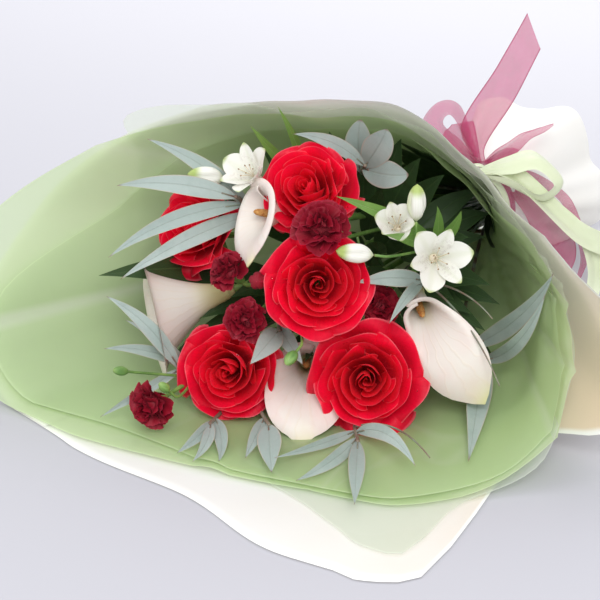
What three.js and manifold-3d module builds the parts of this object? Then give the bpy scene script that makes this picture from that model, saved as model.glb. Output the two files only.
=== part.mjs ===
// Mixed flower bouquet, lying on its side on a table.
// Red roses, cream callas, white alstroemeria, burgundy spray carnations and eucalyptus stand in a
// hand-tied bunch of stems. Three sheets of green film and one sheet of cream paper are rolled round it
// and gathered at a neck, which two ribbons tie. Sizes are in millimetres.
//
// The frame: the table is z = 0, the stems run back along +Y, and the flowers look out along -Y.
// The origin is the flat spot that the bouquet rests on, under its middle.
import * as THREE from 'three';
import { mergeVertices } from 'three/addons/utils/BufferGeometryUtils.js';
import Module from 'manifold-3d';

const wasm = await Module();
wasm.setup();

const rad = THREE.MathUtils.degToRad;
const V = (x, y, z) => new THREE.Vector3(x, y, z);

// Driving dimensions
const HEART = V(13, -141, 120); // middle of the flower heads
const TIE = V(13, 231, 64); // middle of the neck, where the stems are tied
const AXIS = HEART.clone().sub(TIE).normalize(); // from the neck to the flowers
const SHOW_TURN = rad(27); // the flowers are turned this far to the right of the axis
const SHOW_TILT = rad(24); // and this far up from the table
const SHOW_DISTANCE = 1500; // the layout is measured as it looks from this far off
const CLEARANCE = 0.35; // gap kept between neighbours
const FINEST = 0.03; // slivers thinner than this, left by a join or a cut, are closed up

const STEM_PITCH = 7.4; // spacing of the stems in the neck
const NECK_RINGS = 2.7; // rings of stems in the neck, round the middle one
const STEM_TAIL = 125; // length of the stems behind the neck
const TAIL_SPLAY = 1.25; // the stems' spread at their cut ends, beside the neck
const PLACE_REACH = 52; // how far in front of the neck the fan of stems is as wide as the neck
const ROSE_STEM_RADIUS = 2.7;
const CALLA_STEM_RADIUS = 3.2;
const SPRAY_STEM_RADIUS = 1.9;
const SIDE_STEM_RADIUS = 1.2;
const EUCALYPTUS_STEM_RADIUS = 1.7;
const LEAF_SINK = 3; // how far behind its place on the stem a leaf is rooted
const CUP_RADIUS = 4.2; // the green cup under a carnation
const CUP_LENGTH = 15;
const SPATHE_NECK = 7; // radius of a calla's tube at its foot
const SPATHE_HEEL = 6; // the solid foot of the tube reaches this far up and down
const PETAL_THICKNESS = 0.8;
const RIB_DEPTH = 0.45; // half a leaf's depth at its rib, near its ends

const NECK_RADIUS = 34.5; // the paper's middle surface at the neck
const NECK_HALF = 16; // the neck is straight this far to each side
const SHEET_THICKNESS = 0.7;
const LAYER_STEP = 1.3; // from one sheet of the wrap to the next
const WRAP_STEP = 18; // degrees between the sheets' grid lines
const WRAP_STATIONS = [0, 0.14, 0.34, 0.58, 0.82]; // and their places on the way to the rim
const TUCK_START = 0.6; // the share of its turn after which a sheet steps in under its own first edge
const TAIL_REACH = 135; // the paper's length behind the neck
const TAIL_RADIUS = 92;
const PLEATS = 6;
const PLEAT_DEPTH = 9;

const REST_SPOT = 85; // the underside is flat on the table this far round the origin
const REST_SLOPE = 0.02; // beyond that the paper slopes up,
const REST_RISE = 0.8; // and stays this far above the table

const CORD_RADIUS = 24.5; // the cord wound round the stems, inside the wrap
const CORD_THICKNESS = 1.6;
const CORD_WIDTH = 14;
const BAND_SIDES = 14;
const BAND_WIDTH = 14; // the ribbons round the neck
const RIBBON_RADIUS = 36.6;
const RIBBON_THICKNESS = 0.7;
const KNOT_BASE = 35.7; // the underside of the knots, from the axis

const COLOUR = {
  paper: 0xf3eee2,
  film: 0x9dbb7c,
  rose: 0xd8051c,
  carnation: 0x6d0418,
  calla: 0xf1e6da,
  spadix: 0xd98a35,
  alstroemeria: 0xf4f3ea,
  eucalyptus: 0x8fa39c,
  leaf: 0x5f8f3a,
  stem: 0x5e7f3c,
  cord: 0xb79b6a,
  organza: 0xb3244a,
  satin: 0xd3dfae,
};

// Directions of the side that is shown: to its right, up it, and out of it.
const RIGHT = V(Math.cos(SHOW_TURN), Math.sin(SHOW_TURN), 0);
const OUT = V(
  Math.sin(SHOW_TURN) * Math.cos(SHOW_TILT),
  -Math.cos(SHOW_TURN) * Math.cos(SHOW_TILT),
  Math.sin(SHOW_TILT),
);
const UP = OUT.clone().cross(RIGHT);
const ACROSS = V(1, 0, 0); // round the axis, angle 0 points this way
const OVER = ACROSS.clone().cross(AXIS).negate(); // and angle 90 this way, away from the table

// A place in the arrangement: across and up as seen from the show side, and out towards the viewer.
function seat([across, up, out]) {
  const nearer = 1 - out / SHOW_DISTANCE;
  return HEART.clone()
    .addScaledVector(RIGHT, across * nearer)
    .addScaledVector(UP, up * nearer)
    .addScaledVector(OUT, out);
}

function facing([right, up, out]) {
  return RIGHT.clone().multiplyScalar(right).addScaledVector(UP, up).addScaledVector(OUT, out).normalize();
}

// A point at an angle round the axis, in degrees, with a radius and a distance in front of the neck.
function aroundAxis(angle, radius, along) {
  return TIE.clone()
    .addScaledVector(AXIS, along)
    .addScaledVector(ACROSS, radius * Math.cos(rad(angle)))
    .addScaledVector(OVER, radius * Math.sin(rad(angle)));
}

// The matrix that puts a head's +Z along a direction, with its +X as near to the given side as it can be.
function headMatrix(position, direction, side = RIGHT, turn = 0) {
  const z = direction.clone().normalize();
  const x = side.clone().addScaledVector(z, -side.dot(z)).normalize();
  const y = z.clone().cross(x);
  return new THREE.Matrix4()
    .makeBasis(x, y, z)
    .multiply(new THREE.Matrix4().makeRotationZ(turn))
    .setPosition(position);
}

// Solids
function toSolid(geometry) {
  const bare = new THREE.BufferGeometry().setAttribute('position', geometry.getAttribute('position'));
  bare.setIndex(geometry.getIndex());
  const merged = mergeVertices(bare, 1e-4);
  return new wasm.Manifold(
    new wasm.Mesh({
      numProp: 3,
      vertProperties: Float32Array.from(merged.getAttribute('position').array),
      triVerts: Uint32Array.from(merged.getIndex().array),
    }),
  );
}

function toGeometry(solid) {
  const mesh = solid.getMesh();
  const points = new Float32Array(mesh.numVert * 3);
  for (let i = 0; i < mesh.numVert; i++) {
    points.set(mesh.vertProperties.subarray(i * mesh.numProp, i * mesh.numProp + 3), i * 3);
  }
  const geometry = new THREE.BufferGeometry();
  geometry.setAttribute('position', new THREE.BufferAttribute(points, 3));
  geometry.setIndex(new THREE.BufferAttribute(mesh.triVerts.slice(), 1));
  geometry.computeVertexNormals();
  return geometry;
}

function indexed(points, faces) {
  const geometry = new THREE.BufferGeometry().setFromPoints(points);
  geometry.setIndex(faces);
  return toSolid(geometry);
}

// The piece of a cut solid that holds the most material.
function largest(solid) {
  return solid.decompose().reduce((a, b) => (a.volume() > b.volume() ? a : b));
}

function join(solids) {
  return solids.reduce((whole, next) => whole.add(next));
}

// A closed shell on a grid of points: grid[row][column]. A ring grid closes round its columns.
function shell(grid, thickness, { ring = false, grow = 0 } = {}) {
  const rows = grid.length;
  const columns = grid[0].length;
  const at = (i, j) => grid[i][ring ? (j + columns) % columns : j];
  const points = [];
  for (let i = 0; i < rows; i++) {
    for (let j = 0; j < columns; j++) {
      const left = ring || j > 0 ? at(i, j - 1) : at(i, j);
      const right = ring || j < columns - 1 ? at(i, j + 1) : at(i, j);
      const below = at(Math.max(i - 1, 0), j);
      const above = at(Math.min(i + 1, rows - 1), j);
      const sideways = right.clone().sub(left).normalize();
      const upwards = above.clone().sub(below).normalize();
      const normal = sideways.clone().cross(upwards).normalize();
      const middle = at(i, j).clone();
      if (!ring && j === 0) middle.addScaledVector(sideways, -grow);
      if (!ring && j === columns - 1) middle.addScaledVector(sideways, grow);
      if (i === 0) middle.addScaledVector(upwards, -grow);
      if (i === rows - 1) middle.addScaledVector(upwards, grow);
      points.push(middle.clone().addScaledVector(normal, thickness / 2 + grow));
      points.push(middle.clone().addScaledVector(normal, -thickness / 2 - grow));
    }
  }
  const front = (i, j) => 2 * (i * columns + (j % columns));
  const back = (i, j) => front(i, j) + 1;
  const faces = [];
  const quad = (a, b, c, d) => faces.push(a, b, c, a, c, d);
  const last = ring ? columns : columns - 1;
  for (let i = 0; i < rows - 1; i++) {
    for (let j = 0; j < last; j++) {
      quad(front(i, j), front(i, j + 1), front(i + 1, j + 1), front(i + 1, j));
      faces.push(back(i, j), back(i + 1, j + 1), back(i, j + 1));
      faces.push(back(i, j), back(i + 1, j), back(i + 1, j + 1));
    }
    if (!ring) {
      quad(back(i + 1, 0), back(i, 0), front(i, 0), front(i + 1, 0));
      quad(back(i, last), back(i + 1, last), front(i + 1, last), front(i, last));
    }
  }
  for (let j = 0; j < last; j++) {
    quad(back(0, j), back(0, j + 1), front(0, j + 1), front(0, j));
    quad(back(rows - 1, j + 1), back(rows - 1, j), front(rows - 1, j), front(rows - 1, j + 1));
  }
  return indexed(points, faces);
}

// A solid through rings of points, closed by a point at each end. Its quads are split from every even
// corner, so that the two faces of a thin blade are split alike.
function loft(start, rings, end) {
  const sides = rings[0].length;
  const points = [start, ...rings.flat(), end];
  const index = (ring, side) => 1 + ring * sides + (side % sides);
  const faces = [];
  for (let k = 0; k < sides; k++) {
    faces.push(0, index(0, k + 1), index(0, k));
    faces.push(points.length - 1, index(rings.length - 1, k), index(rings.length - 1, k + 1));
    for (let r = 0; r < rings.length - 1; r++) {
      const [a, b, c, d] = [index(r, k), index(r, k + 1), index(r + 1, k + 1), index(r + 1, k)];
      if (k % 2) faces.push(a, b, d, b, c, d);
      else faces.push(a, b, c, a, c, d);
    }
  }
  const solid = indexed(points, faces);
  if (solid.volume() > 0) return solid;
  for (let f = 0; f < faces.length; f += 3) [faces[f + 1], faces[f + 2]] = [faces[f + 2], faces[f + 1]];
  return indexed(points, faces);
}

// A round rod through a list of points, straight between them.
function rod(points, radius, { sides = 5, grow = 0 } = {}) {
  const rings = points.map((point, k) => {
    const before = points[Math.max(k - 1, 0)];
    const after = points[Math.min(k + 1, points.length - 1)];
    const run = after.clone().sub(before).normalize();
    const side = run.clone().cross(OVER).normalize();
    const over = side.clone().cross(run);
    return Array.from({ length: sides }, (_, n) => {
      const angle = (2 * Math.PI * n) / sides;
      return point
        .clone()
        .addScaledVector(side, (radius + grow) * Math.cos(angle))
        .addScaledVector(over, (radius + grow) * Math.sin(angle));
    });
  });
  return loft(points[0], rings, points[points.length - 1]);
}

// The point this far back from the end of a rod.
function backFromEnd(points, back) {
  let left = back;
  for (let k = points.length - 1; k > 0; k--) {
    const length = points[k].distanceTo(points[k - 1]);
    if (left <= length) return points[k].clone().lerp(points[k - 1], left / length);
    left -= length;
  }
  return points[0].clone();
}

// A turned solid: [radius, height] pairs up the local Z axis, from the axis back to the axis.
function turned(profile, sides, matrix, grow = 0) {
  const grown = profile.map(([radius, height], k) => {
    const end = k === 0 ? -grow : k === profile.length - 1 ? grow : 0;
    return new THREE.Vector2(radius > 0 ? radius + grow : 0, height + end);
  });
  const lathe = new THREE.LatheGeometry(grown, sides);
  lathe.rotateX(Math.PI / 2);
  lathe.applyMatrix4(matrix);
  return toSolid(lathe);
}

// Leaves and petals
// Each list of stations: how far along the rib, and how wide there beside the widest.
const LEAF_STATIONS = [
  [0.08, 0.34],
  [0.34, 0.95],
  [0.64, 0.84],
  [0.9, 0.26],
];
const SMALL_STATIONS = [
  [0.3, 0.9],
  [0.7, 0.6],
];
const PETAL_STATIONS = [
  [0.5, 1.0],
  [0.84, 0.6],
];

// A leaf: an arched blade, drawn out to a point. Its bow pushes its middle right, up and out.
function leaf(base, tip, width, { bow: [right, up, out] = [0, 0, 0], ...rest } = {}) {
  const middle = base.clone().lerp(tip, 0.5);
  middle.addScaledVector(RIGHT, 2 * right).addScaledVector(UP, 2 * up).addScaledVector(OUT, 2 * out);
  return blade(base, middle, tip, width, rest);
}

// A blade along a curve that bends towards its middle point, with its face to the show direction.
function blade(base, middle, tip, width, { show = OUT, trough = 0.18, stations = LEAF_STATIONS, grow = 0 }) {
  const rib = new THREE.QuadraticBezierCurve3(base, middle, tip);
  const rings = stations.map(([along, share]) => {
    const point = rib.getPoint(along);
    const run = rib.getTangent(along);
    const side = run.clone().cross(show).normalize();
    const face = side.clone().cross(run).normalize();
    const half = (share * width) / 2;
    const raised = point.clone().addScaledVector(face, trough * half);
    const edge = (sign) => raised.clone().addScaledVector(side, sign * (half + grow));
    const depth = RIB_DEPTH * (1 + 0.55 * share) + grow;
    const front = point.clone().addScaledVector(face, depth);
    const back = point.clone().addScaledVector(face, -depth);
    return [edge(1), front, edge(-1), back];
  });
  const start = rib.getPoint(0).addScaledVector(rib.getTangent(0), -grow);
  const end = rib.getPoint(1).addScaledVector(rib.getTangent(1), grow);
  return loft(start, rings, end);
}

// Stems
// The places for the stems in the neck, in rings of a honeycomb from the middle outwards.
function neckPlaces() {
  const places = [];
  for (let q = -3; q <= 3; q++) {
    for (let r = -3; r <= 3; r++) {
      const place = [(q + r / 2) * STEM_PITCH, ((r * Math.sqrt(3)) / 2) * STEM_PITCH];
      if (Math.hypot(...place) < STEM_PITCH * NECK_RINGS) places.push(place);
    }
  }
  return places;
}

const freePlaces = neckPlaces();

// Takes the free place that lies most nearly on the line from the neck to a point.
function takePlace(target) {
  const from = target.clone().sub(TIE);
  const reach = PLACE_REACH / from.dot(AXIS);
  const miss = ([x, y]) => Math.hypot(x - from.dot(ACROSS) * reach, y - from.dot(OVER) * reach);
  freePlaces.sort((a, b) => miss(a) - miss(b));
  return freePlaces.shift();
}

function inNeck([x, y], along, spread = 1) {
  return TIE.clone()
    .addScaledVector(AXIS, along)
    .addScaledVector(ACROSS, x * spread)
    .addScaledVector(OVER, y * spread);
}

// The line of a stem from its cut end, through its place in the neck, to the points given.
function stemLine(points) {
  const place = takePlace(points[0]);
  const end = inNeck(place, -STEM_TAIL, TAIL_SPLAY);
  return [end, inNeck(place, -NECK_HALF), inNeck(place, NECK_HALF), ...points];
}

// A head's stem ends square to the head, this far behind its seat.
function headStem({ position, direction, bend = 40 }, depth) {
  const end = position.clone().addScaledVector(direction, -depth);
  const behind = end.clone().addScaledVector(direction, -bend / 3);
  const toNeck = TIE.clone().sub(behind).normalize();
  return stemLine([behind.clone().addScaledVector(toNeck, bend), behind, end]);
}

// The pieces
const bouquet = new THREE.Group();
const pieces = new Map();

// Adds a piece. build(grow) makes its solid; where it would cross a piece that lies over it, it is cut
// back by that piece's own shape, grown by the clearance, and its largest part stays.
function piece(name, group, colour, origin, build, over = []) {
  let solid = build(0);
  for (const other of over) solid = largest(solid.subtract(pieces.get(other)(CLEARANCE)));
  pieces.set(name, build);
  const geometry = toGeometry(solid.simplify(FINEST));
  geometry.translate(-origin.x, -origin.y, -origin.z);
  const material = new THREE.MeshStandardMaterial({ color: colour, roughness: 0.6, metalness: 0 });
  const mesh = new THREE.Mesh(geometry, material);
  mesh.name = name;
  mesh.position.copy(origin);
  group.add(mesh);
}

function newGroup() {
  const group = new THREE.Group();
  bouquet.add(group);
  return group;
}

// Roses
// Each layer: how many petals, how wide they are, how far out and up their rims are beside the bloom's
// radius and height, how far the rims curl outwards, and how far one edge lies inside the next petal.
const ROSE_LAYERS = [
  { count: 3, halfWidth: 66, rim: 0.3, height: 1.0, curl: 0.04, tuck: 0.08, columns: 3 },
  { count: 4, halfWidth: 50, rim: 0.56, height: 0.94, curl: 0.1, tuck: 0.07, columns: 3 },
  { count: 5, halfWidth: 42, rim: 0.78, height: 0.78, curl: 0.22, tuck: 0.06, columns: 4 },
];
const ROSE_HEIGHT = 1.06; // beside the radius
const PETAL_ROWS = 3;

function rosePetal(layer, angle, radius, height, grow) {
  const grid = [];
  for (let i = 0; i < PETAL_ROWS; i++) {
    const up = i / (PETAL_ROWS - 1);
    const row = [];
    for (let j = 0; j < layer.columns; j++) {
      const side = (2 * j) / (layer.columns - 1) - 1;
      const turn = angle + rad(layer.halfWidth) * side * (0.62 + 0.5 * up - 0.22 * up ** 4);
      const bowl = 0.08 + (layer.rim - 0.08) * up ** 0.7;
      const out = radius * (bowl + layer.curl * up ** 4 + layer.tuck * side * up);
      const rise = height * (0.05 + (layer.height - 0.05) * up - 0.12 * side * side * up * up);
      const droop = radius * layer.curl * 0.35 * up ** 6;
      row.push(V(out * Math.cos(turn), out * Math.sin(turn), rise - droop));
    }
    grid.push(row);
  }
  return shell(grid, PETAL_THICKNESS, { grow });
}

function roseBloom(matrix, radius, grow) {
  const height = ROSE_HEIGHT * radius;
  const core = turned(
    [
      [0, 0],
      [0.2 * radius, 0],
      [0.36 * radius, 0.36 * height],
      [0.1 * radius, 0.9 * height],
      [0, 0.94 * height],
    ],
    6,
    new THREE.Matrix4(),
    grow,
  );
  const petals = ROSE_LAYERS.flatMap((layer, k) =>
    Array.from({ length: layer.count }, (_, n) =>
      rosePetal(layer, (2 * Math.PI * n) / layer.count + k * 1.9, radius, height, grow),
    ),
  );
  return join([core, ...petals]).transform(matrix.elements);
}

// The green hip under the bloom, with its sepals, on the stem.
function roseStem(line, matrix, radius, grow) {
  const hip = turned(
    [[0, -0.24 * radius], [0.13 * radius, -0.14 * radius], [0.1 * radius, -CLEARANCE], [0, -CLEARANCE]],
    5,
    matrix,
    grow,
  );
  const sepals = Array.from({ length: 5 }, (_, n) => {
    const angle = (2 * Math.PI * n) / 5;
    const base = V(0, 0, -0.16 * radius).applyMatrix4(matrix);
    const tip = V(0.5 * Math.cos(angle), 0.5 * Math.sin(angle), -0.26).multiplyScalar(radius);
    tip.applyMatrix4(matrix);
    return leaf(base, tip, 0.16 * radius, { stations: SMALL_STATIONS, grow });
  });
  return join([rod(line, ROSE_STEM_RADIUS, { grow }), hip, ...sepals]);
}

// Where each rose sits, the way it faces, and its radius.
const ROSES = [
  { name: 'rose_low_right', seat: [47, -75, 13], faces: [-0.05, -0.1, 1], radius: 45, turn: 0.3 },
  { name: 'rose_middle', seat: [7, 1, 38], faces: [0.02, -0.08, 1], radius: 44, turn: 1.1 },
  { name: 'rose_top', seat: [-4, 86, 4], faces: [-0.3, 0.3, 0.9], radius: 41, turn: 2.0 },
  { name: 'rose_low_left', seat: [-70, -69, -6], faces: [-0.18, -0.1, 1], radius: 41, turn: 0.7 },
  { name: 'rose_left', seat: [-97, 47, -66], faces: [-0.7, 0.1, 0.7], radius: 38, turn: 1.5 },
];

function place({ seat: where, faces, turn = 0 }, sunk) {
  const direction = facing(faces);
  const position = seat(where).addScaledVector(direction, -sunk);
  return { position, direction, matrix: headMatrix(position, direction, RIGHT, turn) };
}

const roses = newGroup();
for (const rose of ROSES) {
  const head = place(rose, 0.75 * ROSE_HEIGHT * rose.radius);
  piece(`${rose.name}_bloom`, roses, COLOUR.rose, head.position, (grow) =>
    roseBloom(head.matrix, rose.radius, grow),
  );
  const line = headStem(head, 0.2 * rose.radius);
  piece(`${rose.name}_stem`, roses, COLOUR.stem, head.position, (grow) =>
    roseStem(line, head.matrix, rose.radius, grow),
  );
}

// Spray carnations
// Each frill beside the head's radius: how far out and up its rim is, how far up its root, and its ruffle.
const FRILLS = [
  { rim: 0.95, height: 0.42, root: 0.1, ruffle: 0.12 },
  { rim: 0.72, height: 0.72, root: 0.24, ruffle: 0.14 },
  { rim: 0.4, height: 0.92, root: 0.4, ruffle: 0.13 },
];
const FRILL_POINTS = 9;

function frill({ rim, height, root, ruffle }, radius, turn, grow) {
  const ring = (out, rise, ripple) =>
    Array.from({ length: FRILL_POINTS }, (_, n) => {
      const angle = (2 * Math.PI * n) / FRILL_POINTS + turn;
      const wave = n % 2 ? ripple : -ripple;
      const reach = radius * (out + wave * 0.5);
      return V(reach * Math.cos(angle), reach * Math.sin(angle), radius * (rise - wave));
    });
  return shell([ring(0.12, root, 0), ring(rim, height, ruffle)], PETAL_THICKNESS, { ring: true, grow });
}

function carnationHead(matrix, radius, grow) {
  const core = turned(
    [[0, 0], [0.16 * radius, 0], [0.3 * radius, 0.3 * radius], [0, 0.75 * radius]],
    5,
    new THREE.Matrix4(),
    grow,
  );
  const frills = FRILLS.map((layer, k) => frill(layer, radius, k * 0.7, grow));
  return join([core, ...frills]).transform(matrix.elements);
}

function cup(matrix, radius, length, grow) {
  const profile = [[0, -length], [radius, -0.6 * length], [radius, -CLEARANCE], [0, -CLEARANCE]];
  return turned(profile, 5, matrix, grow);
}

function bud(matrix, radius, length, grow) {
  const profile = [
    [0, -0.1 * length],
    [0.6 * radius, 0.06 * length],
    [radius, 0.4 * length],
    [0.7 * radius, 0.8 * length],
    [0, length],
  ];
  return turned(profile, 6, matrix, grow);
}

// Each spray: the head that its main stem ends at, with the other heads and green buds on side stems.
const CARNATION_SPRAYS = [
  {
    name: 'carnation_spray_middle',
    heads: [
      {
        name: 'carnation_middle',
        seat: [9, 56, 44],
        faces: [-0.1, 0.45, 0.85],
        radius: 24,
        turn: 0.2,
        over: ['rose_middle_bloom'],
      },
      { name: 'carnation_right', seat: [60, -14, -14], faces: [0.2, -0.1, 1], radius: 18, turn: 0.5 },
    ],
    buds: [],
    fork: 80,
    over: ['rose_middle_bloom'],
  },
  {
    name: 'carnation_spray_left',
    heads: [
      { name: 'carnation_left', seat: [-70, 18, -8], faces: [-0.6, 0.5, 0.6], radius: 19, turn: 0.9 },
      {
        name: 'carnation_low',
        seat: [-55, -25, 4],
        faces: [-0.2, 0.1, 1],
        radius: 18,
        turn: 0.1,
        over: ['rose_low_left_bloom'],
      },
      { name: 'carnation_bud', seat: [-43, 8, 13], faces: [-0.1, -0.1, 1], radius: 7.6, length: 15 },
    ],
    buds: [{ seat: [-12, -52, 30], faces: [-0.5, -0.6, 0.6], radius: 5, length: 16 }],
    fork: 70,
  },
  {
    name: 'carnation_spray_low_left',
    heads: [
      { name: 'carnation_far_left', seat: [-135, -98, 2], faces: [-0.55, -0.35, 0.7], radius: 21, turn: 0.4 },
    ],
    buds: [
      { seat: [-152, -68, 0], faces: [-0.7, 0.1, 0.6], radius: 4, length: 15 },
      { seat: [-118, -84, 8], faces: [-0.5, 0.5, 0.6], radius: 4, length: 13 },
    ],
    fork: 45,
    over: ['rose_low_left_bloom'],
  },
];

// A side stem from a point on the main stem to a head.
function sideStem(main, fork, { position, direction }, depth, grow) {
  const end = position.clone().addScaledVector(direction, -depth);
  const behind = end.clone().addScaledVector(direction, -14);
  return rod([backFromEnd(main, fork), behind, end], SIDE_STEM_RADIUS, { sides: 4, grow });
}

const carnations = newGroup();
for (const spray of CARNATION_SPRAYS) {
  const heads = spray.heads.map((head) => ({ ...head, ...place(head, 0.5 * head.radius) }));
  for (const head of heads) {
    const rise = new THREE.Matrix4().makeTranslation(0, 0, 0.1 * (head.length ?? 0));
    const raised = head.matrix.clone().multiply(rise);
    const build = (grow) =>
      head.length
        ? bud(raised, head.radius, head.length, grow)
        : carnationHead(head.matrix, head.radius, grow);
    piece(head.name, carnations, COLOUR.carnation, head.position, build, head.over);
  }
  const main = headStem(heads[0], 0.5 * CUP_LENGTH);
  const build = (grow) => {
    const parts = [rod(main, SPRAY_STEM_RADIUS, { sides: 4, grow })];
    for (const head of heads) parts.push(cup(head.matrix, CUP_RADIUS, CUP_LENGTH, grow));
    for (const head of heads.slice(1)) {
      parts.push(sideStem(main, spray.fork, head, 0.5 * CUP_LENGTH, grow));
    }
    for (const one of spray.buds) {
      const { position, direction, matrix } = place(one, 0);
      parts.push(bud(matrix, one.radius, one.length, grow));
      parts.push(sideStem(main, spray.fork, { position, direction }, 0, grow));
    }
    return join(parts);
  };
  piece(`${spray.name}_stem`, carnations, COLOUR.stem, heads[0].position, build, spray.over);
}

// Callas
// The spathe is one petal rolled into a tube, its edges overlapping at the back. Angle 0 is the side of
// its long tip. Each calla: the middle of its mouth, the way the tube points, the way its tip lies.
const SPATHE_ROWS = 5;
const SPATHE_COLUMNS = 9;
const SPATHE_TURN = 196; // each edge lies this far round from the tip
const SPATHE_TUCK = 0.13; // how much further out one edge is than the other

function spathePoint(along, angle, { tube, mouth, lip, curl }) {
  const share = angle / SPATHE_TURN;
  const front = (0.5 + 0.5 * Math.cos(rad(Math.min(Math.abs(angle), 180)))) ** 1.6;
  const flare = along ** 2.4;
  const open = SPATHE_NECK + (mouth - SPATHE_NECK) * flare + front * lip * flare * along;
  const radius = open * (1 + SPATHE_TUCK * share);
  const rise = along * (tube + front * lip * 0.45) - curl * mouth * along ** 8;
  return V(radius * Math.cos(rad(angle)), radius * Math.sin(rad(angle)), rise);
}

function spathe(matrix, size, grow) {
  const grid = Array.from({ length: SPATHE_ROWS }, (_, i) =>
    Array.from({ length: SPATHE_COLUMNS }, (_, j) =>
      spathePoint(i / (SPATHE_ROWS - 1), SPATHE_TURN * ((2 * j) / (SPATHE_COLUMNS - 1) - 1), size),
    ),
  );
  const heel = turned(
    [
      [0, -SPATHE_HEEL],
      [0.7 * SPATHE_NECK, -SPATHE_HEEL],
      [1.32 * SPATHE_NECK, SPATHE_HEEL],
      [0, SPATHE_HEEL],
    ],
    6,
    new THREE.Matrix4(),
    grow,
  );
  return join([shell(grid, PETAL_THICKNESS, { grow }), heel]).transform(matrix.elements);
}

const CALLAS = [
  {
    name: 'calla_upper',
    seat: [-46, 46, -2],
    faces: [-0.75, 0.1, 0.65],
    tip: [-0.2, -1, 0.2],
    tube: 44, mouth: 24, lip: 16, curl: 0.2,
    over: ['rose_top_bloom', 'carnation_left', 'carnation_spray_left_stem'],
  },
  {
    name: 'calla_left',
    seat: [-118, -19, -74],
    faces: [-0.8, -0.4, 0.45],
    tip: [-0.65, -0.7, 0.1],
    tube: 60, mouth: 30, lip: 28, curl: 0.15,
    over: ['rose_left_bloom', 'rose_low_left_bloom', 'carnation_spray_low_left_stem'],
  },
  {
    name: 'calla_low',
    seat: [-14, -74, -4],
    faces: [-0.15, -0.2, 0.95],
    tip: [0.3, -1, 0],
    tube: 50, mouth: 28, lip: 14, curl: 0.2,
    over: ['rose_low_right_bloom', 'rose_low_left_bloom'],
  },
  {
    name: 'calla_right',
    seat: [99, -34, -18],
    faces: [0.35, -0.3, 0.88],
    tip: [0.62, -0.78, 0],
    tube: 54, mouth: 27, lip: 42, curl: 0.15,
    over: [],
  },
];

const callas = newGroup();
for (const calla of CALLAS) {
  const direction = facing(calla.faces);
  const position = seat(calla.seat).addScaledVector(direction, -calla.tube);
  const matrix = headMatrix(position, direction, facing(calla.tip));
  const petal = (grow) => spathe(matrix, calla, grow);
  piece(`${calla.name}_spathe`, callas, COLOUR.calla, position, petal, calla.over);
  const spadix = (grow) => {
    const foot = SPATHE_HEEL + CLEARANCE;
    const { tube } = calla;
    const profile = [[0, foot], [3, foot], [3.4, 0.5 * tube], [2, 0.85 * tube], [0, 0.9 * tube]];
    return turned(profile, 6, matrix, grow);
  };
  piece(`${calla.name}_spadix`, callas, COLOUR.spadix, position, spadix);
  const line = headStem({ position, direction, bend: 50 }, SPATHE_HEEL + CLEARANCE);
  piece(`${calla.name}_stem`, callas, COLOUR.stem, position, (grow) =>
    rod(line, CALLA_STEM_RADIUS, { grow }),
  );
}

// Alstroemeria
// Each bloom has six petals in two rings, in a funnel. A bud is closed.
function starBloom(matrix, radius, open, grow) {
  const petals = Array.from({ length: 6 }, (_, n) => {
    const angle = (Math.PI * n) / 3;
    const reach = radius * open * (n % 2 ? 0.9 : 1);
    const rise = radius * (n % 2 ? 1.05 : 0.95);
    const inward = V(-Math.cos(angle), -Math.sin(angle), 0).transformDirection(matrix);
    const base = V(1.5 * Math.cos(angle), 1.5 * Math.sin(angle), 1).applyMatrix4(matrix);
    const tip = V(reach * Math.cos(angle), reach * Math.sin(angle), rise).applyMatrix4(matrix);
    const width = radius * (n % 2 ? 0.36 : 0.54);
    const middle = base.clone().lerp(tip, 0.5).addScaledVector(inward, 0.12 * radius);
    return blade(base, middle, tip, width, { show: inward, stations: PETAL_STATIONS, grow });
  });
  const profile = [[0, -0.12 * radius], [3, -0.12 * radius], [4.6, 0.12 * radius], [0, 0.4 * radius]];
  const heart = turned(profile, 6, matrix, grow);
  return join([heart, ...petals]);
}

const ALSTROEMERIAS = [
  {
    name: 'alstroemeria_left',
    fork: 70,
    blooms: [
      {
        name: 'bloom',
        seat: [-53, 100, -18],
        faces: [-0.5, 0.4, 0.7],
        radius: 29,
        open: 0.85,
        turn: 0.4,
        over: ['rose_top_bloom'],
      },
      { name: 'bud', seat: [-88, 95, -34], faces: [-0.9, 0.1, 0.3], radius: 8.5, length: 30 },
    ],
    leaves: [
      { tip: [-27, 153, -10], width: 9, fork: 74, bow: [2, 3, 3] },
      { tip: [-50, 137, -8], width: 10, fork: 66, bow: [-2, 3, 2] },
    ],
  },
  {
    name: 'alstroemeria_right',
    over: ['alstroemeria_right_bloom_behind'],
    fork: 70,
    blooms: [
      { name: 'bloom', seat: [107, 26, 40], faces: [0.15, -0.05, 1], radius: 30, open: 0.95, turn: 0.2 },
      {
        name: 'bloom_behind', seat: [72, 56, 20], faces: [-0.1, 0.25, 0.9], radius: 26, open: 0.7, turn: 0.8,
      },
      { name: 'bud_upper', seat: [89, 74, 30], faces: [0, 1, 0.45], radius: 8, length: 30 },
      {
        name: 'bud_middle',
        seat: [36, 31, 45],
        faces: [-0.9, 0.1, 0.3],
        radius: 8,
        length: 30,
        over: ['rose_middle_bloom'],
      },
    ],
    leaves: [
      { tip: [22, 78, 44], width: 14, fork: 74, bow: [0, 4, 8] },
      { tip: [126, 66, 32], width: 10, fork: 50, bow: [4, 2, 4] },
      { tip: [106, 70, 26], width: 9, fork: 53, bow: [2, 2, 4] },
      { tip: [62, 46, 52], width: 11, fork: 57, bow: [0, 2, 4] },
    ],
  },
];

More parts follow.
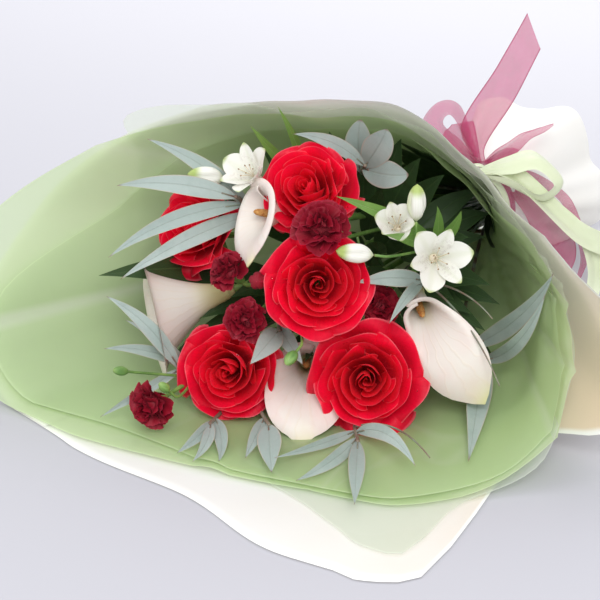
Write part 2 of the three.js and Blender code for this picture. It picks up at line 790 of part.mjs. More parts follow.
const alstroemerias = newGroup();
for (const spray of ALSTROEMERIAS) {
  const sunk = (head) => (head.length ? head.length / 2 : 0.75 * head.radius);
  const heads = spray.blooms.map((head) => ({ ...head, ...place(head, sunk(head)) }));
  for (const head of heads) {
    const closed = (grow) => bud(head.matrix, head.radius, head.length, grow);
    const open = (grow) => starBloom(head.matrix, head.radius, head.open, grow);
    const build = head.length ? closed : open;
    piece(`${spray.name}_${head.name}`, alstroemerias, COLOUR.alstroemeria, head.position, build, head.over);
  }
  const rootDepth = (head) => (head.length ? 0.1 * head.length : 0.12 * head.radius) + CLEARANCE;
  const main = headStem(heads[0], rootDepth(heads[0]));
  const build = (grow) => {
    const parts = [rod(main, SPRAY_STEM_RADIUS, { sides: 4, grow })];
    for (const head of heads.slice(1)) {
      parts.push(sideStem(main, spray.fork, head, rootDepth(head), grow));
    }
    for (const one of spray.leaves) {
      parts.push(leaf(backFromEnd(main, one.fork), seat(one.tip), one.width, { ...one, grow }));
    }
    return join(parts);
  };
  piece(`${spray.name}_stem`, alstroemerias, COLOUR.leaf, heads[0].position, build, spray.over);
}

// Eucalyptus
// Each spray: the points its stem runs through, and its leaves, from a place on the stem to a tip.
const EUCALYPTUS = [
  {
    name: 'eucalyptus_upper_left',
    over: ['rose_left_bloom', 'alstroemeria_left_bud'],
    stem: [[-40, 60, -70], [-62, 78, -28]],
    leaves: [
      { tip: [-161, 87, -16], width: 17, back: 0, bow: [0, 6, 6] },
      { tip: [-168, 27, -10], width: 15, back: 15, bow: [-4, 8, 9] },
      { tip: [-158, 9, -4], width: 16, back: 35, bow: [-2, 4, 10] },
      { tip: [-136, 126, -40], width: 15, back: 25, bow: [4, 6, 4] },
    ],
  },
  {
    name: 'eucalyptus_left',
    over: ['calla_left_spathe'],
    stem: [[-86, -60, -84], [-110, -66, -31]],
    leaves: [
      { tip: [-170, -5, -2], width: 14, back: 0, bow: [4, 6, 8] },
      { tip: [-154, -25, -2], width: 9, back: 15, bow: [2, 4, 4] },
      { tip: [-172, -49, -16], width: 11, back: 19, bow: [0, 6, 4] },
      { tip: [-175, -106, -10], width: 9, back: 5, bow: [0, 0, -3] },
    ],
  },
  {
    name: 'eucalyptus_lower_left',
    over: ['rose_low_left_bloom', 'carnation_far_left'],
    stem: [[-60, -88, -60], [-84, -112, -2]],
    leaves: [
      { tip: [-111, -136, 38], width: 10, back: 5, bow: [2, 0, 3] },
      { tip: [-98, -143, 46], width: 10, back: 0, bow: [4, 0, 3] },
      { tip: [-76, -143, 46], width: 12, back: 10, bow: [4, 0, 3] },
    ],
  },
  {
    name: 'eucalyptus_bottom',
    over: ['calla_low_spathe'],
    stem: [[-46, -93, -44], [-34, -113, 8]],
    leaves: [
      { tip: [-32, -152, 66], width: 20, back: 0, bow: [0, 0, 3] },
      { tip: [-54, -140, 50], width: 11, back: 15, bow: [0, 0, 3] },
    ],
  },
  {
    name: 'eucalyptus_lower_right',
    over: ['rose_low_right_bloom', 'eucalyptus_bottom'],
    stem: [[34, -99, -38], [40, -127, 20]],
    leaves: [
      { tip: [-12, -159, 80], width: 12, back: 5, bow: [4, -1, 5] },
      { tip: [-30, -140, 54], width: 9, back: 18, bow: [4, 0, 2] },
      { tip: [37, -179, 112], width: 14, back: 0, bow: [0, 0, 4] },
      { tip: [88, -147, 74], width: 13, back: 15, bow: [2, 12, 5] },
      { tip: [100, -140, 66], width: 5, back: 25, bow: [2, 12, 4] },
    ],
  },
  {
    name: 'eucalyptus_right',
    over: ['calla_right_spathe'],
    stem: [[124, -36, -80], [146, -60, -38]],
    leaves: [
      { tip: [126, -140, 52], width: 23, back: 4, bow: [-3, 8, -5] },
      { tip: [192, 8, 40], width: 18, back: 20, bow: [4, -6, 2] },
      { tip: [190, -4, 50], width: 15, back: 0, bow: [2, -8, 4] },
    ],
  },
  {
    name: 'eucalyptus_centre',
    over: ['calla_low_spathe'],
    stem: [[-26, -24, -70], [-26, -34, -24]],
    leaves: [
      { tip: [-50, -62, 22], width: 20, back: 0, bow: [2, 2, 6] },
      { tip: [-6, -62, 10], width: 14, back: 15, bow: [0, 0, 2] },
    ],
  },
  {
    name: 'eucalyptus_top',
    over: ['rose_top_bloom'],
    stem: [[40, 96, -80], [46, 104, -36]],
    leaves: [
      { tip: [-14, 130, 4], width: 13, back: 0, bow: [2, 6, 4] },
      { tip: [64, 134, 10], width: 26, back: 5, bow: [2, 0, 4] },
      { tip: [82, 96, 6], width: 24, back: 10, bow: [0, -3, 3] },
      { tip: [42, 142, -20], width: 24, back: 25, bow: [-2, 0, 2] },
    ],
  },
  {
    name: 'eucalyptus_middle_right',
    over: ['rose_middle_bloom'],
    stem: [[88, 6, -60], [96, 8, -12]],
    leaves: [
      { tip: [38, 6, 28], width: 15, back: 0, bow: [0, 3, 3] },
      { tip: [66, -28, 34], width: 10, back: 5, bow: [0, 4, 2] },
      { tip: [158, -80, 30], width: 5, back: 9, bow: [4, 8, 2] },
      { tip: [152, -24, 26], width: 5, back: 14, bow: [4, 6, 2] },
    ],
  },
];

const eucalyptus = newGroup();
for (const spray of EUCALYPTUS) {
  const points = spray.stem.map(seat);
  const line = stemLine(points);
  const build = (grow) =>
    join([
      rod(line, EUCALYPTUS_STEM_RADIUS, { sides: 4, grow }),
      ...spray.leaves.map((one) =>
        leaf(backFromEnd(line, one.back + LEAF_SINK), seat(one.tip), one.width, { ...one, grow }),
      ),
    ]);
  piece(spray.name, eucalyptus, COLOUR.eucalyptus, points[1], build, spray.over);
}

// The wrap
// The wrap's form: at each angle round the axis, how far out from it and how far in front of the neck
// the middle film's rim lies, and how the sheet swells on the way (under 1 early, over 1 late).
const WRAP = [
  { angle: -138, radius: 207, reach: 485, swell: 0.6 },
  { angle: -98, radius: 139, reach: 484, swell: 0.5 },
  { angle: -69, radius: 146, reach: 477, swell: 0.5 },
  { angle: -48, radius: 182, reach: 470, swell: 0.7 },
  { angle: -23, radius: 242, reach: 375, swell: 1.1 },
  { angle: -2, radius: 220, reach: 334, swell: 1.3 },
  { angle: 12, radius: 188, reach: 303, swell: 1.3 },
  { angle: 33, radius: 153, reach: 296, swell: 1.1 },
  { angle: 61, radius: 138, reach: 278, swell: 1.0 },
  { angle: 88, radius: 139, reach: 291, swell: 1.0 },
  { angle: 110, radius: 146, reach: 316, swell: 1.0 },
  { angle: 142, radius: 190, reach: 308, swell: 1.0 },
  { angle: 173, radius: 292, reach: 413, swell: 1.0 },
  { angle: 189, radius: 344, reach: 538, swell: 1.0 },
  { angle: 208, radius: 277, reach: 468, swell: 0.8 },
];

// A value from a table, eased between its rows and repeated after a full turn.
function around(table, angle, key) {
  const first = table[0].angle;
  const wrapped = ((((angle - first) % 360) + 360) % 360) + first;
  const next = table.findIndex((row) => row.angle > wrapped);
  const b = next < 0 ? table[0] : table[next];
  const a = next < 0 ? table[table.length - 1] : table[next - 1];
  const span = (next < 0 ? first + 360 : b.angle) - a.angle;
  const share = (wrapped - a.angle) / span;
  const eased = share * share * (3 - 2 * share);
  return a[key] + (b[key] - a[key]) * eased;
}

// A point of a sheet: the angle, the distance in front of the neck, and how deep the sheet lies inside the
// outermost one. What would be below the table lies on it, raised a little away from the flat spot.
function wrapPoint(angle, along, depth, lift, raised) {
  const reach = around(WRAP, angle, 'reach');
  const share = Math.max(along - NECK_HALF, 0) / (reach - NECK_HALF);
  const rim = around(WRAP, angle, 'radius');
  const open = (rim - NECK_RADIUS) * share ** around(WRAP, angle, 'swell') + lift * share ** 4;
  const behind = Math.max(-along - NECK_HALF, 0) / (TAIL_REACH - NECK_HALF);
  const pleat = PLEAT_DEPTH * behind * Math.cos(rad(angle * PLEATS));
  const radius = NECK_RADIUS + open + (TAIL_RADIUS - NECK_RADIUS) * behind ** 0.8 + pleat - depth;
  const point = aroundAxis(angle, radius, along);
  const beyond = Math.max(Math.hypot(point.x, point.y) - REST_SPOT, 0);
  point.z = Math.max(point.z, depth + SHEET_THICKNESS / 2 + Math.min(REST_SLOPE * beyond, raised));
  return point;
}

// A sheet rolled round the axis. Its edges overlap, and one lies a layer inside the other.
function sheet({ from, to, rim, outer, inner, behind, raised }, grow) {
  const columns = (to - from) / WRAP_STEP + 1;
  const column = (j) => {
    const angle = from + WRAP_STEP * j;
    const tucked = Math.max(j / (columns - 1) - TUCK_START, 0) / (1 - TUCK_START);
    const depth = LAYER_STEP * (outer + (inner - outer) * tucked);
    const reach = around(rim, angle, 'reach');
    const lift = around(rim, angle, 'lift');
    const alongs = [...behind.map((share) => share * TAIL_REACH), -NECK_HALF];
    const whole = Math.min(around(WRAP, angle, 'reach'), reach);
    for (const share of WRAP_STATIONS) alongs.push(NECK_HALF + share * (whole - NECK_HALF));
    alongs.push(reach);
    return alongs.map((along) => wrapPoint(angle, along, depth, lift, raised));
  };
  const lines = Array.from({ length: columns }, (_, j) => column(j));
  return shell(lines[0].map((_, i) => lines.map((line) => line[i])), SHEET_THICKNESS, { grow });
}

// Where the rim of each sheet lies, and how far it stands off outwards there.
const PAPER_RIM = [
  { angle: -152, reach: 459, lift: 4 },
  { angle: -136, reach: 495, lift: 4 },
  { angle: -94, reach: 526, lift: 4 },
  { angle: -58, reach: 557, lift: 4 },
  { angle: -46, reach: 561, lift: 4 },
  { angle: -38, reach: 540, lift: 8 },
  { angle: -28, reach: 440, lift: 30 },
  { angle: -12, reach: 330, lift: 80 },
  { angle: 0, reach: 336, lift: 40 },
  { angle: 12, reach: 312, lift: 10 },
  { angle: 33, reach: 300, lift: 5 },
  { angle: 61, reach: 292, lift: 5 },
  { angle: 88, reach: 309, lift: 5 },
  { angle: 110, reach: 326, lift: 5 },
  { angle: 142, reach: 312, lift: 5 },
  { angle: 173, reach: 375, lift: 5 },
  { angle: 189, reach: 440, lift: 5 },
];
const OUTER_FILM_RIM = [
  { angle: -84, reach: 470, lift: 2 },
  { angle: -60, reach: 490, lift: 2 },
  { angle: -41, reach: 516, lift: 2 },
  { angle: -30, reach: 420, lift: 2 },
  { angle: -12, reach: 346, lift: 2 },
  { angle: 12, reach: 306, lift: 2 },
  { angle: 61, reach: 284, lift: 2 },
  { angle: 110, reach: 320, lift: 2 },
  { angle: 134, reach: 330, lift: 2 },
  { angle: 150, reach: 352, lift: 2 },
  { angle: 162, reach: 310, lift: 2 },
  { angle: 180, reach: 300, lift: 2 },
];
const INNER_FILM_RIM = [
  { angle: -132, reach: 470, lift: -6 },
  { angle: -60, reach: 462, lift: -6 },
  { angle: -23, reach: 362, lift: -6 },
  { angle: 12, reach: 290, lift: -6 },
  { angle: 61, reach: 270, lift: -6 },
  { angle: 110, reach: 298, lift: -6 },
  { angle: 142, reach: 268, lift: -6 },
  { angle: 173, reach: 320, lift: -6 },
  { angle: 190, reach: 440, lift: -6 },
  { angle: 208, reach: 450, lift: -6 },
];
const MIDDLE_FILM_RIM = WRAP.map(({ angle, reach }) => ({ angle, reach, lift: 0 }));
const PAPER_TAIL = [-1, -0.66, -0.36]; // the paper's grid lines behind the neck, beside its reach there

// Each sheet: the angles it is rolled from and to, how many layers deep its first and its last edge lie,
// its grid lines behind the neck, and how far its underside is raised off the table.
const SHEETS = [
  {
    name: 'paper_wrap', from: -162, to: 216, rim: PAPER_RIM,
    outer: 0, inner: 1.0, behind: PAPER_TAIL, raised: REST_RISE,
  },
  {
    name: 'film_outer', from: -90, to: 180, rim: OUTER_FILM_RIM,
    outer: 2.2, inner: 2.2, behind: [], raised: 0,
  },
  {
    name: 'film_middle', from: -126, to: 252, rim: MIDDLE_FILM_RIM,
    outer: 3.7, inner: 4.7, behind: [], raised: 0,
  },
  { name: 'film_inner', from: -126, to: 216, rim: INNER_FILM_RIM, outer: 6, inner: 6, behind: [], raised: 0 },
];

const wrap = newGroup();
for (const one of SHEETS) {
  const colour = one.name === 'paper_wrap' ? COLOUR.paper : COLOUR.film;
  piece(one.name, wrap, colour, TIE, (grow) => sheet(one, grow));
}

// The neck's ties
function band(radius, from, to, thickness, grow) {
  const ring = (along) =>
    Array.from({ length: BAND_SIDES }, (_, n) => aroundAxis((360 * n) / BAND_SIDES, radius, along));
  return shell([ring(from), ring(to)], thickness, { ring: true, grow });
}

const ties = newGroup();
const tieBand = (grow) => band(CORD_RADIUS, -CORD_WIDTH / 2, CORD_WIDTH / 2, CORD_THICKNESS, grow);
piece('stem_tie', ties, COLOUR.cord, TIE, tieBand);

// A ribbon bow: a band round the neck, a knot on top, and strips that start in the knot. Each strip is a
// list of its two edges, seen from the show side.
const ORGANZA = {
  name: 'ribbon_organza',
  along: -8,
  strips: [
    [
      [[140, 104, -322], [148, 101, -320]],
      [[126, 137, -318], [146, 120, -314]],
      [[156, 187, -314], [171, 160, -310]],
      [[181, 231, -308], [192, 201, -304]],
    ],
    [
      [[138, 104, -330], [140, 104, -317]],
      [[113, 117, -336], [118, 119, -308]],
      [[94, 136, -338], [99, 139, -310]],
      [[106, 156, -338], [110, 152, -312]],
      [[128, 148, -334], [130, 145, -312]],
      [[139, 106, -328], [142, 106, -317]],
    ],
    [
      [[146, 106, -330], [147, 103, -314]],
      [[160, 118, -334], [161, 116, -310]],
      [[175, 117, -334], [175, 114, -310]],
      [[160, 105, -332], [161, 103, -312]],
      [[148, 103, -328], [149, 101, -314]],
    ],
    [
      [[145, 108, -332], [146, 105, -314]],
      [[161, 123, -340], [162, 120, -312]],
      [[181, 134, -344], [182, 130, -316]],
      [[203, 139, -348], [203, 134, -318]],
    ],
    [
      [[149, 106, -322], [145, 103, -320]],
      [[172, 99, -330], [165, 91, -322]],
      [[192, 78, -318], [180, 64, -306]],
      [[214, 50, -300], [196, 36, -290]],
      [[222, 20, -288], [205, 16, -278]],
      [[212, 2, -280], [204, 4, -272]],
    ],
    [
      [[150, 104, -328], [147, 101, -324]],
      [[185, 96, -326], [182, 88, -320]],
      [[208, 82, -320], [203, 76, -312]],
      [[220, 66, -314], [213, 62, -308]],
    ],
  ],
};
const SATIN = {
  name: 'ribbon_satin',
  along: 7,
  strips: [
    [
      [[139, 101, -306], [141, 98, -296]],
      [[164, 112, -298], [168, 98, -276]],
      [[188, 117, -294], [190, 101, -270]],
      [[212, 94, -290], [206, 87, -266]],
      [[197, 74, -290], [191, 78, -268]],
      [[168, 84, -294], [168, 90, -276]],
      [[141, 98, -304], [142, 96, -296]],
    ],
    [
      [[136, 102, -310], [134, 98, -298]],
      [[110, 116, -318], [106, 106, -294]],
      [[90, 108, -320], [90, 98, -296]],
      [[112, 103, -316], [112, 102, -298]],
      [[135, 98, -308], [136, 96, -298]],
    ],
    [
      [[142, 102, -306], [138, 98, -300]],
      [[174, 101, -292], [166, 90, -282]],
      [[226, 56, -286], [220, 40, -276]],
      [[252, 46, -290], [244, 28, -280]],
    ],
    [
      [[138, 100, -303], [134, 97, -298]],
      [[160, 98, -292], [153, 91, -286]],
      [[188, 70, -276], [176, 58, -268]],
      [[212, 34, -268], [200, 24, -260]],
      [[230, 12, -266], [217, 8, -258]],
      [[236, -8, -260], [223, -8, -252]],
    ],
  ],
};

function bow({ along, strips }, grow) {
  const knot = turned(
    [[0, KNOT_BASE], [6, KNOT_BASE], [7, KNOT_BASE + 5], [5, KNOT_BASE + 10], [0, KNOT_BASE + 12]],
    8,
    headMatrix(aroundAxis(90, 0, along), OVER),
    grow,
  );
  const parts = strips.map((stations) => {
    const grid = stations.map(([one, other]) => [seat(one), seat(other)]);
    return shell(grid, RIBBON_THICKNESS, { grow });
  });
  const round = band(RIBBON_RADIUS, along - BAND_WIDTH / 2, along + BAND_WIDTH / 2, RIBBON_THICKNESS, grow);
  return join([round, knot, ...parts]);
}

for (const [ribbon, colour] of [[ORGANZA, COLOUR.organza], [SATIN, COLOUR.satin]]) {
  piece(ribbon.name, ties, colour, TIE, (grow) => bow(ribbon, grow));
}

export default bouquet;
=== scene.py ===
"""A mixed flower bouquet that lies on its side, in green film and cream paper, tied with two ribbons.

Layout sizes are in millimetres, as they look from the side that the bouquet shows. Meshes are in metres, with
the table at z = 0, the stems back along +Y and the flowers looking out along -Y.
"""

import logging
import math
from collections.abc import Iterable, Sequence
from dataclasses import dataclass, field
from enum import Enum

import bpy
import numpy as np
from mathutils import Matrix


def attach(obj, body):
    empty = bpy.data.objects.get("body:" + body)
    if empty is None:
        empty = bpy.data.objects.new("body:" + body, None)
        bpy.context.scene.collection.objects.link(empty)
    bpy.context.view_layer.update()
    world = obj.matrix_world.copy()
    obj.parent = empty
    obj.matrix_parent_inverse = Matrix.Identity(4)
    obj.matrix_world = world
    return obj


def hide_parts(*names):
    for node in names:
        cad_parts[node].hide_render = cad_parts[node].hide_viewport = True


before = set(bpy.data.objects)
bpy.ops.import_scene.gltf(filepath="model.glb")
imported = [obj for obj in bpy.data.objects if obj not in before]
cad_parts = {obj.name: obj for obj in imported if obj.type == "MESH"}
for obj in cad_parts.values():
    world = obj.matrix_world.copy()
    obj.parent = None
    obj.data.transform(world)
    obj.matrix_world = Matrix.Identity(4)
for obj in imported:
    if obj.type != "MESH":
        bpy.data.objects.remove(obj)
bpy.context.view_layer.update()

LOG = logging.getLogger("bouquet")
ALONG_TABLE = np.array([1.0, 0.0, 0.0])
MM = 0.001
SEED = 41
GRID = "grid"  # the meshes' map of each surface's own two coordinates
SHADE = "shade"  # the colour attribute: tint, layer and mark of each surface

Array = np.ndarray
Chance = np.random.Generator
Number = float | Array
Point = Sequence[float]
Spot = tuple[float, float, float]
Colour = tuple[float, float, float]
Profile = Sequence[tuple[float, float]]
Groove = tuple[int, float]
Material = bpy.types.Material
Tree = bpy.types.NodeTree
Node = bpy.types.Node
Socket = bpy.types.NodeSocket
Feed = Socket | float | Colour


def unit(vectors: Array) -> Array:
    """Scales vectors to length one."""
    return vectors / np.maximum(np.linalg.norm(vectors, axis=-1, keepdims=True), 1e-9)


def ease(value: Number, low: float, high: float) -> Number:
    """A soft step from 0 at low to 1 at high."""
    share = np.clip((value - low) / (high - low), 0.0, 1.0)
    return share * share * (3.0 - 2.0 * share)


def bell(value: Number, middle: float, width: float) -> Number:
    """A soft bump, 1 at the middle and near 0 beyond twice the width."""
    return np.exp(-(((value - middle) / width) ** 2))


@dataclass(frozen=True)
class ShowSide:
    """The side that the bouquet shows: places are given across it, up it and out of it.

    Attributes:
        heart: The middle of the flower heads.
        turn: Degrees that the flowers are turned to the right of the stems' line.
        tilt: Degrees that they look up.
        distance: How far off the layout is seen from.
    """

    heart: Spot = (13.0, -141.0, 120.0)
    turn: float = 27.0
    tilt: float = 24.0
    distance: float = 1500.0

    def axes(self) -> tuple[Array, Array, Array]:
        """Returns the directions to the right, up and out."""
        turn, tilt = math.radians(self.turn), math.radians(self.tilt)
        right = np.array([math.cos(turn), math.sin(turn), 0.0])
        out = np.array([math.sin(turn) * math.cos(tilt), -math.cos(turn) * math.cos(tilt), math.sin(tilt)])
        return right, np.cross(out, right), out

    def seat(self, place: Point | Array) -> Array:
        """Returns the place in the frame, from how far it lies across, up and out."""
        right, up, out = self.axes()
        given = np.asarray(place, dtype=float)
        nearer = 1.0 - given[..., 2:3] / self.distance
        flat = given[..., 0:1] * nearer * right + given[..., 1:2] * nearer * up
        return np.asarray(self.heart) + flat + given[..., 2:3] * out

    def look(self, points: Array) -> tuple[Array, Array]:
        """Returns how far across and up points of the frame look."""
        right, up, out = self.axes()
        away = points - np.asarray(self.heart)
        nearer = self.distance / (self.distance - away @ out)
        return (away @ right) * nearer, (away @ up) * nearer

    def facing(self, way: Point) -> Array:
        """Returns a direction in the frame, from its shares to the right, up and out."""
        right, up, out = self.axes()
        return unit(way[0] * right + way[1] * up + way[2] * out)


SHOW = ShowSide()
RIGHT, UP, OUT = SHOW.axes()


@dataclass(frozen=True)
class Neck:
    """The neck, where the stems are tied and the wrap is gathered, and the line from it to the flowers."""

    tie: Spot = (13.0, 231.0, 64.0)
    radius: float = 34.5
    half: float = 16.0

    def axis(self) -> Array:
        """Returns the direction from the neck to the flowers."""
        return unit(np.asarray(SHOW.heart) - np.asarray(self.tie))

    def over(self) -> Array:
        """Returns the direction away from the table, square to the axis."""
        return -np.cross(ALONG_TABLE, self.axis())

    def around(self, angle: Number, radius: Number, along: Number) -> Array:
        """Returns points round the axis.

        Args:
            angle: Degrees round the axis, from +X over the top.
            radius: Distance from the axis.
            along: Distance in front of the neck.

        Returns:
            The points, in millimetres.
        """
        turn = np.radians(np.asarray(angle, dtype=float))[..., None]
        reach = np.asarray(radius, dtype=float)[..., None]
        forward = np.asarray(along, dtype=float)[..., None]
        sideways = reach * np.cos(turn) * ALONG_TABLE
        return np.asarray(self.tie) + forward * self.axis() + sideways + reach * np.sin(turn) * self.over()


NECK = Neck()


@dataclass(frozen=True)
class Place:
    """A local frame: its origin, and its side, up and facing directions as the columns of a matrix."""

    origin: Array
    basis: Array

    def put(self, points: Array) -> Array:
        """Moves local points into the frame."""
        return self.origin + points @ self.basis.T

    @property
    def facing(self) -> Array:
        """The direction that the place faces."""
        return self.basis[:, 2]

    @classmethod
    def towards(cls, origin: Array, facing: Array, side: Array | None = None, turn: float = 0.0) -> "Place":
        """Makes a place from what it faces.

        Args:
            origin: Where it is.
            facing: The direction of its third axis.
            side: What its first axis lies nearest to.
            turn: Radians that it is turned round the way it faces.

        Returns:
            The place.
        """
        z = unit(facing)
        given = RIGHT if side is None else side
        x = unit(given - z * float(given @ z))
        y = np.cross(z, x)
        turned = [math.cos(turn) * x + math.sin(turn) * y, -math.sin(turn) * x + math.cos(turn) * y, z]
        return cls(np.asarray(origin, dtype=float), np.stack(turned, axis=1))


def seated(seat: Point, faces: Point, sunk: float, turn: float = 0.0) -> Place:
    """Puts a head on its seat.

    Args:
        seat: Where its face is, across, up and out.
        faces: The way it faces, right, up and out.
        sunk: How far its foot lies behind its seat.
        turn: Radians that it is turned.

    Returns:
        The head's place.
    """
    direction = SHOW.facing(faces)
    return Place.towards(SHOW.seat(seat) - sunk * direction, direction, RIGHT, turn)


def in_rows(count: int, low: float = 0.0, high: float = 1.0) -> Array:
    """Even steps from low to high, one in each row of a grid."""
    return np.linspace(low, high, count)[:, None]


def in_columns(count: int, low: float = -1.0, high: float = 1.0) -> Array:
    """Even steps from low to high, one in each column of a grid."""
    return np.linspace(low, high, count)[None, :]


def round_axis(radius: Number, angle: Number, height: Number) -> Array:
    """Points round a place's third axis, at an angle in radians."""
    return np.stack(np.broadcast_arrays(radius * np.cos(angle), radius * np.sin(angle), height), -1)


def curve_through(points: Array, steps: int) -> Array:
    """Runs a smooth curve through points.

    Args:
        points: The points, one a row.
        steps: How many pieces each run between two points is cut into.

    Returns:
        The points of the curve.
    """
    ends = [2.0 * points[0] - points[1], *points, 2.0 * points[-1] - points[-2]]
    line: list[Array] = []
    for k in range(1, len(ends) - 2):
        before, a, b, after = ends[k - 1], ends[k], ends[k + 1], ends[k + 2]
        for t in np.linspace(0.0, 1.0, steps, endpoint=False):
            bend = (2 * before - 5 * a + 4 * b - after) * t * t + (3 * a - before - 3 * b + after) * t**3
            line.append(0.5 * (2 * a + (b - before) * t + bend))
    line.append(points[-1])
    return np.array(line)


def softened(points: Array, rounds: int = 2) -> Array:
    """Rounds the corners of a line, and keeps its ends."""
    for _ in range(rounds):
        early = 0.8 * points[:-1] + 0.2 * points[1:]
        late = 0.2 * points[:-1] + 0.8 * points[1:]
        middle = np.stack([early, late], axis=1).reshape(-1, 3)
        points = np.vstack([points[:1], middle, points[-1:]])
    return points


def back_from_end(line: Sequence[Array], back: float) -> Array:
    """The point this far back from the end of a line."""
    left = back
    for k in range(len(line) - 1, 0, -1):
        length = float(np.linalg.norm(line[k] - line[k - 1]))
        if left <= length:
            return line[k] + (line[k - 1] - line[k]) * left / length
        left -= length
    return line[0]


def surface_normals(points: Array) -> Array:
    """The normals of a grid of points."""
    return unit(np.cross(np.gradient(points, axis=1), np.gradient(points, axis=0)))


def link(name: str, data: bpy.types.ID) -> bpy.types.Object:
    """Puts a mesh, a light or a camera into the scene."""
    made = bpy.data.objects.new(name, data)
    bpy.context.scene.collection.objects.link(made)
    return made


@dataclass
class Draft:
    """Surfaces that are collected into one mesh, each a grid of points.

    A surface's own coordinates go into the mesh's map, first the one across it, then the one along it from
    its root. Its tint, layer and mark go into a colour attribute. The materials read both.
    """

    points: list[Array] = field(default_factory=list)
    faces: list[Array] = field(default_factory=list)
    corners: list[Array] = field(default_factory=list)
    shades: list[Array] = field(default_factory=list)
    finishes: list[Array] = field(default_factory=list)
    count: int = 0

    def sheet(
        self,
        grid: Array,
        *,
        ring: bool = False,
        tint: float = 0.5,
        layer: float = 0.0,
        mark: Number = 0.0,
        finish: int = 0,
    ) -> None:
        """Adds a surface.

        Args:
            grid: Its points, rows by columns by three, in millimetres.
            ring: Whether its columns close round.
            tint: A number that differs from one surface to the next.
            layer: Its place from the heart of a head, 0, to the outside, 1.
            mark: A number for the material, such as which petals have streaks, or one for each point.
            finish: The number of its material.
        """
        rows, columns = grid.shape[:2]
        runs = columns if ring else columns - 1
        i, j = np.meshgrid(np.arange(rows - 1), np.arange(runs), indexing="ij")
        following = (j + 1) % columns
        first, second = i * columns, (i + 1) * columns
        quads = np.stack([first + j, first + following, second + following, second + j], -1)
        u0, u1, v0, v1 = j / runs, (j + 1) / runs, i / (rows - 1), (i + 1) / (rows - 1)
        self.points.append(grid.reshape(-1, 3))
        self.faces.append(quads.reshape(-1, 4) + self.count)
        self.corners.append(np.stack([u0, v0, u1, v0, u1, v1, u0, v1], -1).reshape(-1, 4, 2))
        shade = np.tile([tint, layer, 0.0, 1.0], (rows * columns, 1))
        shade[:, 2] = np.broadcast_to(mark, (rows, columns)).ravel()
        self.shades.append(shade)
        self.finishes.append(np.full(quads.shape[0] * quads.shape[1], finish, dtype=np.int32))
        self.count += rows * columns

    def shell(self, grid: Array, thickness: float, **facts: float) -> None:
        """Adds a surface with a thickness, closed along its edges.

        Args:
            grid: The points of its middle.
            thickness: How thick it is, in millimetres.
            facts: What sheet takes.
        """
        lift = surface_normals(grid) * thickness / 2
        front, back = grid + lift, grid - lift
        closed = np.concatenate([front, back[:, ::-1]], axis=1)
        self.sheet(closed, ring=True, **facts)

    def tube(self, line: Array, radius: Number, sides: int = 8, **facts: float) -> None:
        """Adds a round tube along a line, closed at its ends.

        Args:
            line: The points it follows.
            radius: Its radius, or one for each point.
            sides: How many sides it has.
            facts: What sheet takes.
        """
        run = unit(np.gradient(line, axis=0))
        across = unit(np.cross(run, NECK.over() + np.array([0.013, 0.007, 0.0])))
        over = np.cross(across, run)
        turn = np.linspace(0.0, 2 * np.pi, sides, endpoint=False)
        radii = np.broadcast_to(np.asarray(radius, dtype=float), (len(line),))[:, None, None]
        ring = across[:, None] * np.cos(turn)[None, :, None] + over[:, None] * np.sin(turn)[None, :, None]
        body = line[:, None] + radii * ring
        first = line[0] + 0.02 * (body[:1] - line[0])
        last = line[-1] + 0.02 * (body[-1:] - line[-1])
        self.sheet(np.concatenate([first, body, last]), ring=True, **facts)

    def turned(
        self, profile: Profile, place: Place, sides: int, grooves: Groove = (0, 0.0), **facts: float
    ) -> None:
        """Adds a turned form.

        Args:
            profile: Its radius and height at each step, smoothed between them.
            place: Where it stands.
            sides: How many sides it has.
            grooves: How many grooves wind round it, and how deep they are beside the radius.
            facts: What sheet takes.
        """
        count, depth = grooves
        rows = np.array([[out, 0.0, up] for out, up in profile], dtype=float)
        smooth = curve_through(rows, 5 if count else 4)
        turn = np.linspace(0.0, 2 * np.pi, sides, endpoint=False)
        share = in_rows(len(smooth))
        groove = 1.0 - depth * (0.5 + 0.5 * np.cos(count * turn + 2.5 * share)) ** 4 * np.sin(np.pi * share)
        radius = np.maximum(smooth[:, 0:1], 0.02) * groove
        self.sheet(place.put(round_axis(radius, turn, smooth[:, 2:3])), ring=True, **facts)

    def build(self, name: str, slot: str, nodes: Iterable[str], *materials: Material) -> bpy.types.Object:
        """Makes the piece.

        Args:
            name: Its name.
            slot: The name of a material slot; not used.
            nodes: The solids that it stands for, or none.
            materials: Its materials.

        Returns:
            The object, riding on the bouquet.
        """
        mesh = bpy.data.meshes.new(name)
        points = np.concatenate(self.points) * MM
        mesh.from_pydata(points.tolist(), [], np.concatenate(self.faces).tolist())
        mesh.uv_layers.new(name=GRID).data.foreach_set("uv", np.concatenate(self.corners).ravel())
        shade = mesh.attributes.new(SHADE, "FLOAT_COLOR", "POINT")
        shade.data.foreach_set("color", np.concatenate(self.shades).ravel())
        for material in materials:
            mesh.materials.append(material)
        mesh.polygons.foreach_set("material_index", np.concatenate(self.finishes))
        mesh.polygons.foreach_set("use_smooth", np.ones(len(mesh.polygons), dtype=bool))
        mesh.update()
        piece = link(name, mesh)
        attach(piece, "root")
        if nodes:
            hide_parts(*nodes)
        LOG.info("%s: %d faces", name, len(mesh.polygons))
        return piece


